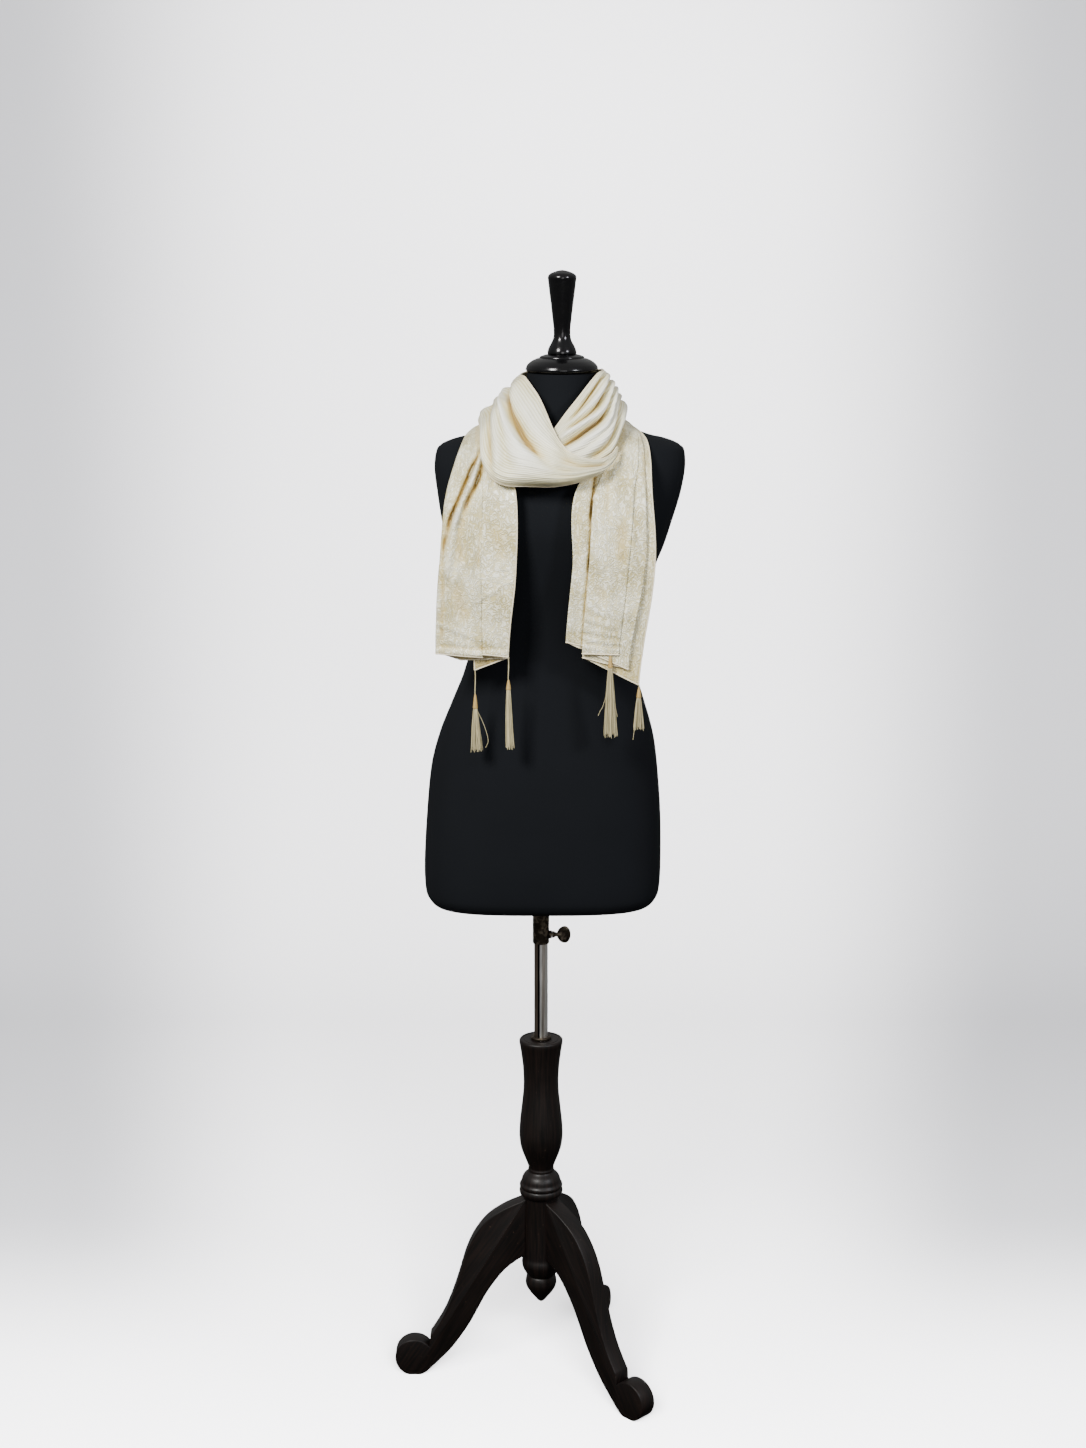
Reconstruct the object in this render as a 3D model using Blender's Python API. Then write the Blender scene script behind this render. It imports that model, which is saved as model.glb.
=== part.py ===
"""A silk stole wound once round the neck of a limbless dress form, on a turned wooden tripod stand.

The pole's axis is x = y = 0 while the pieces are made, the floor is z = 0, and the form faces -Y.
At the end everything moves together, so that the origin is the centre of the footprint.
Tables are in millimetres, and MM turns them to metres.
"""
import math
import random

import bmesh
import bpy
from mathutils import Vector
from mathutils.bvhtree import BVHTree

MM = 0.001
SEAM = 0.3                # gap between touching pieces
CLOTH = 1.4               # thickness of the stole's wall
REST_GAP = 1.6            # the cloth's bends stand this far off the form, so its flats just clear it
STRANDS_ACROSS = 4        # a tassel's skirt has this many strands each way
THREAD_RADIUS = 0.7
HEAD_RADIUS = 3.6
STRAND_SHARES = (0.35, 1.0)   # a strand bends once, at this share of its length
STRAND_UNEVEN = 2.5       # a strand ends this much above or below its skirt's bottom

# Pole, clamp and column
POLE_RADIUS = 10.3
POLE_BOTTOM = 455.0
POLE_TOP = 1000.0
SLIDE_FIT = 0.3           # clearance round the pole
BORE_RADIUS = POLE_RADIUS + SLIDE_FIT
COLUMN_TOP = 552.0
DRUM_RADIUS = 27.5
DRUM_BOTTOM = 150.0
DRUM_TOP = 350.0
RING_HEIGHT = 4.2
RING_RADIUS = 15.5
RING_CHAMFER = 1.2
COLLAR_BOTTOM = 704.0
COLLAR_RADIUS = 12.4
BOSS_RADIUS = 6.0
BOSS_REACH = 16.5
SCREW_HEIGHT = 717.0
SCREW_RADIUS = 2.6
PADDLE_MIDDLE = 34.5      # how far from the pole's axis the screw's paddle has its middle
PADDLE_HALF_SIZES = (10.0, 3.2, 12.3)
ROUND_SIDES = 28
BORE_OVERRUN = 5.0        # how far a cutter runs past the faces it cuts

# Form
FORM_BOTTOM = 771.0
BORE_TOP = 1156.0
NECK_X = 30.0             # the form leans, so its neck stands this far right of the pole
TORSO_SIDES = 32

# Legs
LEG_THICKNESS = 28.0
LEG_DIRECTIONS = {"leg_right": -45.0, "leg_left": 180.0, "leg_back": 63.0}
SCROLL_CENTRE = (198.0, 28.5)
SCROLL_RADIUS = 30.0
SCROLL_ANGLES = (142.0, -130.0)
SCROLL_STEPS = 18

# Sections of the torso, from the hips up: height, middle, half width, front, back, squareness
TORSO_SECTIONS = [
    (771, 2, 146, 78, 88, 2.3),
    (775, 2, 160, 92, 101, 2.3),
    (785, 2, 169, 101, 110, 2.3),
    (800, 2, 174, 105, 115, 2.3),
    (840, 2.5, 175.5, 107, 117, 2.3),
    (910, 4, 173, 107, 119, 2.3),
    (980, 5, 167, 104, 115, 2.3),
    (1030, 8, 157, 99, 106, 2.3),
    (1080, 11, 140, 93, 95, 2.2),
    (1120, 13, 126, 88, 86, 2.2),
    (1165, 16, 118, 86, 80, 2.2),
    (1215, 19, 124, 91, 80, 2.2),
    (1265, 21, 139, 100, 83, 2.3),
    (1310, 22, 156, 109, 87, 2.4),
    (1345, 23, 166, 112, 89, 2.5),
    (1385, 26, 175, 104, 90, 2.5),
    (1420, 27, 180, 89, 87, 2.5),
    (1444, 28, 178, 76, 80, 2.4),
    (1452, 28, 172, 71, 77, 2.4),
    (1457, 28, 163, 68, 74, 2.3),
    (1462, 28, 148, 64, 71, 2.3),
    (1466, 28, 130, 62, 69, 2.2),
    (1477, 29, 98, 58, 66, 2.1),
    (1490, 29.5, 72, 55, 61, 2),
    (1508, 30, 58, 52.5, 56, 2),
    (1530, 30, 52, 50.5, 52, 2),
    (1554.5, 30, 49.5, 49.5, 49.5, 2),
]

# Turned profiles: radius and height, from the bottom up
COLUMN_PROFILE = [
    (0, 166), (22, 166), (25, 171), (28.5, 178), (30, 185), (29.5, 190), (27.5, 196), (27.5, 298),
    (31, 299), (33, 302), (33.6, 306), (32.6, 309.5), (31.2, 311), (33, 313), (33, 316.5), (31, 319),
    (30.2, 321), (29.4, 326), (26.5, 331.5), (21.5, 335.5), (19.4, 338), (20.2, 340.5), (19, 343.5),
    (22, 353), (27.5, 366), (31.5, 379), (33.6, 396), (32.6, 418), (29.4, 446), (27, 468), (26.4, 487),
    (28, 513), (31, 535), (33, 546), (33, 550), (31.6, COLUMN_TOP),
]
DROP_FINIAL_PROFILE = [
    (0, 118), (5, 121), (10.5, 128), (17.5, 137), (22.5, 145), (24.3, 152), (23.5, 160), (21, 165.7),
    (0, 165.7),
]
NECK_CAP_PROFILE = [
    (0, 1554.8), (48, 1554.8), (51, 1556.5), (52, 1560), (50, 1565.5), (44, 1571), (36, 1574.6), (31, 1576),
    (30.6, 1578.4), (28, 1580.4), (0, 1580.4),
]
FINIAL_PROFILE = [
    (0, 1580.7), (17, 1580.7), (19, 1584), (19, 1588), (16.6, 1591.5), (13.4, 1594), (11.6, 1600),
    (11, 1609), (11.8, 1627), (14.4, 1652), (17.2, 1673), (19.4, 1686), (20, 1690.5), (18, 1694.6),
    (11, 1697.4), (0, 1698.2),
]

# Edges of a leg's board in its own plane: distance from the pole's axis, height
LEG_TOP_EDGE = [
    (18, 297), (34, 289), (54, 280), (76, 266), (91, 251), (105, 230), (116, 205), (124, 178), (132, 151),
    (142, 122), (153, 97), (164, 78), (173, 64),
]
LEG_BOTTOM_EDGE = [
    (175, 9), (160, 24), (142, 43), (127, 63), (111, 88), (98, 113), (85, 138), (69, 162), (54, 180),
    (34, 196), (18, 203),
]

FOLD_FADE = 0.15          # share of a band over which a long fold dies out
CURL_START = 0.8          # share across a band where its outer edge starts to turn under

# Neck wrap. Each row is a section from the inner edge down to the outer edge:
# inner edge x, y, z, then outer edge x, y, z, belly, and how far the outer edge curls back under
FRONT_BAND_SECTIONS = [
    (-27, 12, 1551, -91, 12, 1487, -5, 2),
    (-26, -14, 1552, -89, -28, 1479.4, -3, 3),
    (-20, -40, 1550, -87, -84, 1465, 4, 6),
    (-4, -60, 1527, -80, -122, 1436, 8, 10),
    (9, -80, 1502, -53, -140, 1418, 10, 13),
    (18, -98, 1482, -15, -144, 1409, 10, 16),
    (29, -115, 1464, 26, -144, 1409, 9, 16),
    (48, -126, 1450, 61, -140, 1416, 7, 13),
    (79, -122, 1446, 87, -130, 1428, 5, 8),
    (102, -104, 1456, 107, -112, 1444, 3, 4),
    (113, -84, 1466, 116, -88, 1460, 1, 1),
]
INNER_BAND_SECTIONS = [
    (86, 12, 1558, 121, 12, 1502, 0, 2),
    (86, -14, 1558, 119, -28, 1496, 2, 2),
    (79, -33, 1555, 112, -68, 1477, 4, 2),
    (66, -52, 1543, 96, -100, 1450, 5, 2),
    (48, -68, 1520, 70, -107, 1439, 5, 2),
    (31, -79, 1498, 42, -110, 1435, 4, 2),
    (16, -85, 1478, 14, -110, 1435, 3, 2),
    (3, -90, 1464, -6, -109, 1435, 2, 2),
]
BACK_BAND_SECTIONS = [
    (86, 12.3, 1558, 121, 12.3, 1502, 0, 2),
    (80, 32, 1556, 118, 46, 1496, 2, 3),
    (62, 49, 1554, 98, 80, 1478, 5, 4),
    (30, 59, 1553, 34, 90, 1462, 8, 4),
    (-2, 50, 1554, -42, 82, 1470, 5, 4),
    (-20, 32, 1553, -86, 48, 1486, 0, 3),
    (-27, 12.3, 1551, -91, 12.3, 1487, -5, 2),
]

# Long folds of the neck wrap, which run on from band to band: place across and height at the start,
# the same at the end, width, and how far along the band the fold dies out
FRONT_BAND_FOLDS = [
    (0.22, 6.0, 0.80, 10.0, 0.09, 0.66),
    (0.50, 7.0, 1.02, 8.0, 0.08, 0.52),
    (0.80, 5.0, 1.10, 5.0, 0.08, 0.42),
]
INNER_BAND_FOLDS = [
    (0.16, 6.0, 0.30, 6.0, 0.09, 2.0),
    (0.42, 7.0, 0.62, 7.0, 0.10, 2.0),
    (0.70, 5.0, 0.90, 5.0, 0.09, 2.0),
]
BACK_BAND_FOLDS = [
    (0.16, 6.0, 0.22, 6.0, 0.09, 2.0),
    (0.42, 7.0, 0.50, 7.0, 0.09, 2.0),
    (0.70, 5.0, 0.80, 5.0, 0.09, 2.0),
]

# The way down of a hanging end's outer layer, from the hem up and over the shoulder:
# y, height or None below the middle, place in the columns of the fold table, hug, layer spacing
END_ROWS = [
    (-139, None, 0.0, 0.0, 3.2),
    (-140, None, 0.33, 0.0, 3.2),
    (-141, None, 0.67, 0.0, 3.2),
    (-140, 1290, 1.0, 0.0, 3.2),
    (-138, 1340, 1.5, 0.0, 3.2),
    (-127, 1392, 2.0, 0.0, 3.0),
    (-107, 1434, 2.5, 0.3, 2.6),
    (-82, 1466, 2.8, 0.8, 2.3),
    (-64, 1481, 2.95, 1.0, 2.1),
    (-46, 1492, 3.1, 1.0, 2.0),
    (-27, 1498, 3.25, 1.0, 1.9),
    (-8, 1500, 3.4, 1.0, 1.9),
    (10, 1498, 3.6, 1.0, 1.9),
    (28, 1491, 3.8, 1.0, 1.9),
    (42, 1483, 4.0, 1.0, 1.9),
]
MIDDLE_HEIGHT = 1290.0
END_BOW = 0.0005          # how fast a hanging end falls back towards its outer side
PIVOT_HEIGHT = 1400.0     # over the shoulder the cloth bends round a line at this height
OUTSIDE = 400.0           # far enough out from that line to be outside the form
FOLD_STEP = 17.0          # a layer has a point about this often across

# Fold lines of the hanging ends, in order across the cloth from corner to corner:
# x at the hem, middle, bust, shoulder and back, layer counted from the front, height of the hem
LEFT_END_FOLDS = [
    (-94, -96, -94, -72, -60, 4, 1146),
    (-47, -38, -38, -56, -44, 3, 1167),
    (-144, -138, -128, -106, -80, 0, 1170),
    (-83, -84, -82, -78, -62, 1, 1167),
    (-96, -98, -96, -92, -70, 2, 1178),
    (-46, -35, -35, -54, -42, 2, 1167),
]
RIGHT_END_FOLDS = [
    (138, 159, 155, 149, 112, 5, 1126),
    (60, 68, 74, 106, 92, 4, 1172),
    (122, 144, 145, 140, 106, 3, 1150),
    (36, 45, 47, 92, 86, 2, 1189),
    (76, 85, 92, 128, 100, 1, 1180),
    (59, 68, 75, 104, 90, 0, 1173),
    (109, 121, 128, 136, 106, 1, 1171),
    (97, 104, 112, 122, 98, 2, 1172),
]

# Tassels: name, end, corner, thread length, head height, skirt bottom, half width, bend to the right
TASSELS = [
    ("tassel_1", "left", 0, 34, 22, 1029, 8.8, 1.5),
    ("tassel_2", "left", -1, 32, 15, 1037, 6.6, 2.0),
    ("tassel_3", "right", -1, 2, 18, 1054, 10.4, 1.0),
    ("tassel_4", "right", 0, 3, 16, 1062, 8.2, 0.5),
]


def remove_old_objects():
    for old in list(bpy.data.objects):
        bpy.data.objects.remove(old)


def finish(name, colour, roughness, metallic=0.0):
    """A plain material from an sRGB hex colour."""
    material = bpy.data.materials.new(name)
    material.use_nodes = True
    shader = material.node_tree.nodes["Principled BSDF"]
    channels = [int(colour[i:i + 2], 16) / 255 for i in (1, 3, 5)]
    linear = [c / 12.92 if c <= 0.04045 else ((c + 0.055) / 1.055) ** 2.4 for c in channels]
    shader.inputs["Base Color"].default_value = (*linear, 1.0)
    shader.inputs["Roughness"].default_value = roughness
    shader.inputs["Metallic"].default_value = metallic
    return material


def add_object(name, bm, material):
    """Turn a bmesh, in millimetres, into a named object in metres."""
    bmesh.ops.scale(bm, vec=(MM, MM, MM), verts=bm.verts)
    mesh = bpy.data.meshes.new(name)
    bm.to_mesh(mesh)
    bm.free()
    mesh.materials.append(material)
    mesh.shade_smooth()
    mesh.set_sharp_from_angle(angle=math.radians(40))
    piece = bpy.data.objects.new(name, mesh)
    bpy.context.scene.collection.objects.link(piece)
    return piece


def turned(name, profile, material, axis_x=0.0, sides=ROUND_SIDES):
    """A solid turned round a vertical axis from its profile of radius and height."""
    bm = bmesh.new()
    verts = [bm.verts.new((axis_x + radius, 0, height)) for radius, height in profile]
    edges = [bm.edges.new(pair) for pair in zip(verts, verts[1:])]
    if profile[0][0] > 0 and profile[-1][0] > 0:
        edges.append(bm.edges.new((verts[-1], verts[0])))
    bmesh.ops.spin(bm, geom=verts + edges, cent=(axis_x, 0, 0), axis=(0, 0, 1), dvec=(0, 0, 0),
                   angle=math.tau, steps=sides, use_merge=True, use_duplicate=False)
    bmesh.ops.remove_doubles(bm, verts=bm.verts, dist=0.001)
    bmesh.ops.recalc_face_normals(bm, faces=bm.faces)
    return add_object(name, bm, material)


def round_bar(name, radius, start, end, material):
    """An upright round bar on the pole's axis, from one height to another."""
    bm = bmesh.new()
    bmesh.ops.create_cone(bm, cap_ends=True, segments=ROUND_SIDES, radius1=radius, radius2=radius,
                          depth=end - start)
    bmesh.ops.translate(bm, vec=(0, 0, (start + end) / 2), verts=bm.verts)
    return add_object(name, bm, material)


def side_bar(name, radius, start, end, material):
    """A round bar on the thumbscrew's axis, from one reach to another."""
    bm = bmesh.new()
    bmesh.ops.create_cone(bm, cap_ends=True, segments=16, radius1=radius, radius2=radius, depth=end - start)
    for vert in bm.verts:
        vert.co = Vector((vert.co.z + (start + end) / 2, vert.co.x, vert.co.y + SCREW_HEIGHT))
    return add_object(name, bm, material)


def helper(piece):
    """Hide a shape that only cuts another or is joined to it."""
    piece.hide_render = True
    piece.display_type = "WIRE"
    return piece


def combine(piece, other, operation):
    modifier = piece.modifiers.new(operation.lower(), "BOOLEAN")
    modifier.operation = operation
    modifier.solver = "EXACT"
    modifier.object = other


def along(rows, place):
    """A smooth curve through the rows of a table, read at a place counted in rows."""
    last = len(rows) - 1
    place = min(max(place, 0.0), float(last))
    index = min(int(place), last - 1)
    t = place - index
    before = rows[max(index - 1, 0)]
    start = rows[index]
    end = rows[index + 1]
    after = rows[min(index + 2, last)]
    result = []
    for p0, p1, p2, p3 in zip(before, start, end, after):
        slope_in = (p2 - p0) / 2
        slope_out = (p3 - p1) / 2
        a = 2 * p1 - 2 * p2 + slope_in + slope_out
        b = -3 * p1 + 3 * p2 - 2 * slope_in - slope_out
        result.append(((a * t + b) * t + slope_in) * t + p1)
    return result


def surface(columns, rows, place):
    """A grid of columns by rows, each of its vertices put where place(column, row) says."""
    bm = bmesh.new()
    bmesh.ops.create_grid(bm, x_segments=columns, y_segments=rows, size=1.0)
    for vert in bm.verts:
        column = round((vert.co.x + 1) / 2 * columns)
        row = round((vert.co.y + 1) / 2 * rows)
        vert.co = place(column, row)
    return bm


def cloth(name, columns, rows, place, material):
    """A sheet of cloth with its wall on both sides of the grid."""
    bm = surface(columns, rows, place)
    piece = add_object(name, bm, material)
    wall = piece.modifiers.new("wall", "SOLIDIFY")
    wall.thickness = CLOTH * MM
    wall.offset = 0.0
    return piece


def torso_point(column, row):
    """The torso's skin: the first and last rows close the underside and the top of the neck."""
    section = TORSO_SECTIONS[min(max(row - 1, 0), len(TORSO_SECTIONS) - 1)]
    height, middle, half_width, front, back, squareness = section
    angle = math.tau * (column % TORSO_SIDES) / TORSO_SIDES
    if row == 0 or row == len(TORSO_SECTIONS) + 1:
        return Vector((middle, 0, height))
    power = 2 / squareness
    across = math.copysign(abs(math.cos(angle)) ** power, math.cos(angle))
    deep = math.copysign(abs(math.sin(angle)) ** power, math.sin(angle))
    depth = back if deep > 0 else front
    return Vector((middle + half_width * across, depth * deep, height))


def make_torso(material, guide):
    bm = surface(TORSO_SIDES, len(TORSO_SECTIONS) + 1, torso_point)
    bmesh.ops.remove_doubles(bm, verts=bm.verts, dist=0.001)
    bmesh.ops.recalc_face_normals(bm, faces=bm.faces)
    skin = BVHTree.FromBMesh(bm)
    torso = add_object("torso", bm, material)
    bore = helper(round_bar("torso_bore", BORE_RADIUS, FORM_BOTTOM - BORE_OVERRUN, BORE_TOP, guide))
    combine(torso, bore, "DIFFERENCE")
    return torso, skin


def make_collar(material, guide):
    """The tube under the form with a boss for the thumbscrew."""
    collar = round_bar("clamp_collar", COLLAR_RADIUS, COLLAR_BOTTOM, FORM_BOTTOM - SEAM, material)
    boss = side_bar("collar_boss", BOSS_RADIUS, BOSS_RADIUS, BOSS_REACH, guide)
    bore = round_bar("collar_bore", BORE_RADIUS, COLLAR_BOTTOM - BORE_OVERRUN,
                     FORM_BOTTOM + BORE_OVERRUN, guide)
    thread = side_bar("collar_thread", SCREW_RADIUS + SEAM, BORE_OVERRUN, BOSS_REACH + BORE_OVERRUN, guide)
    combine(collar, helper(boss), "UNION")
    combine(collar, helper(bore), "DIFFERENCE")
    combine(collar, helper(thread), "DIFFERENCE")
    return collar


def make_thumbscrew(material, guide):
    """A turned shank with a flat paddle that widens outwards, lying along X."""
    profile = [
        (0, 10.9), (SCREW_RADIUS, 10.9), (SCREW_RADIUS, 16.8), (5.2, 16.8), (5.2, 19), (3, 21), (2.2, 23),
        (2.6, 26), (2.6, 34), (0, 34),
    ]
    bm = bmesh.new()
    verts = [bm.verts.new((reach, 0, SCREW_HEIGHT + radius)) for radius, reach in profile]
    edges = [bm.edges.new(pair) for pair in zip(verts, verts[1:])]
    bmesh.ops.spin(bm, geom=verts + edges, cent=(0, 0, SCREW_HEIGHT), axis=(1, 0, 0), dvec=(0, 0, 0),
                   angle=math.tau, steps=16, use_merge=True, use_duplicate=False)
    bmesh.ops.remove_doubles(bm, verts=bm.verts, dist=0.001)
    bmesh.ops.recalc_face_normals(bm, faces=bm.faces)
    screw = add_object("thumbscrew", bm, material)
    bm = bmesh.new()
    bmesh.ops.create_uvsphere(bm, u_segments=16, v_segments=10, radius=1.0)
    half_length, half_thickness, half_width = PADDLE_HALF_SIZES
    for vert in bm.verts:
        widening = 1.0 + 0.25 * vert.co.x
        vert.co = Vector((PADDLE_MIDDLE + half_length * vert.co.x, half_thickness * vert.co.y,
                          SCREW_HEIGHT + half_width * widening * vert.co.z))
    paddle = helper(add_object("paddle", bm, guide))
    combine(screw, paddle, "UNION")
    return screw


def leg_outline():
    """The board's edge: the cabriole top, the round scroll with a flat sole, and the underside."""
    centre_x, centre_z = SCROLL_CENTRE
    scroll = []
    start_angle, end_angle = SCROLL_ANGLES
    for step in range(SCROLL_STEPS + 1):
        angle = math.radians(start_angle + (end_angle - start_angle) * step / SCROLL_STEPS)
        height = centre_z + SCROLL_RADIUS * math.sin(angle)
        scroll.append((centre_x + SCROLL_RADIUS * math.cos(angle), max(height, 0.0)))
    return LEG_TOP_EDGE + scroll + LEG_BOTTOM_EDGE


def make_leg(name, direction, material, drum_cutter):
    bm = bmesh.new()
    half = LEG_THICKNESS / 2
    verts = [bm.verts.new((x, -half, z)) for x, z in leg_outline()]
    face = bm.faces.new(verts)
    extruded = bmesh.ops.extrude_face_region(bm, geom=[face], use_keep_orig=True)
    moved = [item for item in extruded["geom"] if isinstance(item, bmesh.types.BMVert)]
    bmesh.ops.translate(bm, vec=(0, LEG_THICKNESS, 0), verts=moved)
    bmesh.ops.recalc_face_normals(bm, faces=bm.faces)
    leg = add_object(name, bm, material)
    leg.rotation_euler.z = math.radians(direction)
    combine(leg, drum_cutter, "DIFFERENCE")
    return leg


def ridge(across, place, folds):
    """The height that the long folds add at a place across and along the cloth."""
    height = 0.0
    for start, start_size, end, end_size, width, last in folds:
        middle = start + (end - start) * place
        size = start_size + (end_size - start_size) * place
        fade = min(max((last - place) / FOLD_FADE, 0.0), 1.0)
        height += size * fade * math.exp(-((across - middle) / width) ** 2)
    return height


def band_point(sections, folds, place, across):
    """A point of the neck wrap: place along the sections and across from inner to outer edge."""
    row = along(sections, place * (len(sections) - 1))
    inner = Vector(row[0:3])
    outer = Vector(row[3:6])
    belly, curl = row[6:8]
    point = inner.lerp(outer, across)
    away = Vector((point.x - NECK_X, point.y, 0)).normalized()
    bulge = belly * math.sin(math.pi * across) + ridge(across, place, folds)
    tuck = curl * max((across - CURL_START) / (1 - CURL_START), 0.0) ** 2
    return point + away * (bulge - tuck)


def make_band(name, sections, folds, columns, rows, material):
    def place(column, row):
        return band_point(sections, folds, column / columns, row / rows)
    return cloth(name, columns, rows, place, material)


def end_path(folds):
    """Points across a hanging end: along each layer, then round each turn.

    Each point is a place in the fold table, a layer that may lie between two, and a push sideways."""
    path = []
    for index, (start, end) in enumerate(zip(folds, folds[1:])):
        pieces = max(round(abs(end[0] - start[0]) / FOLD_STEP), 1)
        side = math.copysign(1, end[0] - start[0])
        start_layer = start[5]
        next_layer = end[5]
        for step in range(pieces + 1):
            path.append((index + step / pieces, start_layer, 0.0))
        if index == len(folds) - 2:
            break
        depth = abs(next_layer - start_layer)
        arcs = depth + 1
        for arc in range(1, arcs):
            turn = math.pi * arc / arcs
            layer = start_layer + (next_layer - start_layer) * (1 - math.cos(turn)) / 2
            path.append((index + 1.0, layer, side * math.sin(turn) * depth / 2))
    return path


def end_point(folds, layers, skin, step, row):
    """A point of a hanging end: which step of its path, and which row up the cloth."""
    place, layer, push = step
    index = min(int(place), len(folds) - 2)
    blend = place - index
    y, height, spread, hug, spacing = END_ROWS[row]
    line = [a + (b - a) * blend for a, b in zip(folds[index], folds[index + 1])]
    x = along([(value,) for value in line[0:5]], spread)[0] + push * spacing
    if height is None:
        height = line[6] + (MIDDLE_HEIGHT - line[6]) * spread
    bow = END_BOW * (x - NECK_X) ** 2 * (1 - hug)
    base = Vector((x, y + bow, height))
    pivot = Vector((x, 0, PIVOT_HEIGHT))
    inward = Vector((0, 1, 0))
    if height > PIVOT_HEIGHT:
        inward = (pivot - base).normalized()
    if hug > 0:
        hit = skin.ray_cast(pivot - inward * OUTSIDE, inward)[0]
        on_skin = hit - inward * (CLOTH / 2 + REST_GAP + layers * spacing)
        base = base.lerp(on_skin, hug)
    return base + inward * layer * spacing


def make_end(name, folds, skin, material):
    path = end_path(folds)
    layers = max(fold[5] for fold in folds)

    def place(column, row):
        return end_point(folds, layers, skin, path[column], row)

    piece = cloth(name, len(path) - 1, len(END_ROWS) - 1, place, material)
    ends = {0: (place(0, 0), place(1, 0)), -1: (place(len(path) - 1, 0), place(len(path) - 2, 0))}
    corners = {}
    for which, (corner, inside) in ends.items():
        corners[which] = corner + Vector((math.copysign(THREAD_RADIUS, inside.x - corner.x), 0, 0))
    return piece, corners


def ring_round(bm, edges, centre, scale, height):
    """Pull a loop of edges up into a new ring, scaled about its axis."""
    grown = bmesh.ops.extrude_edge_only(bm, edges=edges)["geom"]
    for vert in [item for item in grown if isinstance(item, bmesh.types.BMVert)]:
        vert.co = Vector((centre[0] + (vert.co.x - centre[0]) * scale,
                          centre[1] + (vert.co.y - centre[1]) * scale, height))
    return [item for item in grown if isinstance(item, bmesh.types.BMEdge) and item.is_boundary]


def make_tassel(row, corner, material):
    """A thread, a wrapped head and a skirt of strands that grow out of the head's underside."""
    name, _, _, thread, head, skirt_bottom, half_width, bend = row
    jitter = random.Random(name)
    top = corner.z - SEAM
    head_top = top - thread
    head_bottom = head_top - head
    centre = (corner.x, corner.y)
    bm = bmesh.new()
    bmesh.ops.create_grid(bm, x_segments=STRANDS_ACROSS, y_segments=STRANDS_ACROSS, size=1.0)
    bmesh.ops.reverse_faces(bm, faces=bm.faces)
    for vert in bm.verts:
        a, b = vert.co.x, vert.co.y
        vert.co = Vector((centre[0] + HEAD_RADIUS * a * math.sqrt(1 - b * b / 2),
                          centre[1] + HEAD_RADIUS * b * math.sqrt(1 - a * a / 2), head_bottom))
    roots = list(bm.faces)
    edges = [edge for edge in bm.edges if edge.is_boundary]
    edges = ring_round(bm, edges, centre, 0.88, head_bottom + head * 0.45)
    edges = ring_round(bm, edges, centre, THREAD_RADIUS / HEAD_RADIUS / 0.88, head_top)
    edges = ring_round(bm, edges, centre, 1.0, top)
    bmesh.ops.contextual_create(bm, geom=edges)
    bmesh.ops.inset_individual(bm, faces=roots, thickness=0.22, depth=0.0, use_even_offset=True)
    for root in roots:
        middle = root.calc_center_median()
        away = Vector(((middle.x - centre[0]) / HEAD_RADIUS, (middle.y - centre[1]) / HEAD_RADIUS, 0))
        length = head_bottom - skirt_bottom + jitter.uniform(-STRAND_UNEVEN, STRAND_UNEVEN)
        face = root
        for share in STRAND_SHARES:
            face = bmesh.ops.extrude_discrete_faces(bm, faces=[face])["faces"][0]
            drop = Vector((bend * share ** 2, 0, -length * share))
            move = middle + away * half_width * share + drop - face.calc_center_median()
            bmesh.ops.translate(bm, vec=move, verts=face.verts)
    bmesh.ops.recalc_face_normals(bm, faces=bm.faces)
    return add_object(name, bm, material)


def make_stand(wood, chrome, bronze, guide):
    """The wooden column with its finial and legs, and the pole that turns in it."""
    bored = COLUMN_PROFILE + [
        (BORE_RADIUS, COLUMN_TOP), (BORE_RADIUS, POLE_BOTTOM - SEAM), (0, POLE_BOTTOM - SEAM),
    ]
    ring_foot = COLUMN_TOP + SEAM
    ring_top = ring_foot + RING_HEIGHT
    ring = [
        (BORE_RADIUS, ring_foot), (RING_RADIUS, ring_foot), (RING_RADIUS, ring_top - RING_CHAMFER),
        (RING_RADIUS - RING_CHAMFER, ring_top), (BORE_RADIUS, ring_top),
    ]
    pole = [(0, POLE_BOTTOM), (POLE_RADIUS, POLE_BOTTOM), (POLE_RADIUS, POLE_TOP), (0, POLE_TOP)]
    pieces = [
        turned("column", bored, wood),
        turned("drop_finial", DROP_FINIAL_PROFILE, wood),
        turned("pole_ring", ring, bronze),
    ]
    drum_cutter = helper(round_bar("drum_cutter", DRUM_RADIUS + SEAM, DRUM_BOTTOM, DRUM_TOP, guide))
    pieces += [make_leg(name, turn, wood, drum_cutter) for name, turn in LEG_DIRECTIONS.items()]
    return pieces, turned("pole", pole, chrome)


def add_origin(name, place, parent=None):
    origin = bpy.data.objects.new(name, None)
    origin.empty_display_size = 0.05
    origin.location = place
    origin.parent = parent
    bpy.context.scene.collection.objects.link(origin)
    return origin


def hang_on(pieces, origin, place):
    """Parent pieces to an empty that lies at a place, and keep the pieces where they are."""
    for piece in pieces:
        piece.parent = origin
        piece.location = Vector(piece.location) - Vector(place)


def footprint_centre():
    """The middle of the whole object's box, at its lowest height."""
    bpy.context.view_layer.update()
    depsgraph = bpy.context.evaluated_depsgraph_get()
    low = Vector((1e9, 1e9, 1e9))
    high = -low
    for piece in bpy.data.objects:
        if piece.type != "MESH" or piece.hide_render:
            continue
        evaluated = piece.evaluated_get(depsgraph)
        for vert in evaluated.data.vertices:
            spot = evaluated.matrix_world @ vert.co
            low = Vector(map(min, low, spot))
            high = Vector(map(max, high, spot))
    return Vector(((low.x + high.x) / 2, (low.y + high.y) / 2, low.z))


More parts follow.
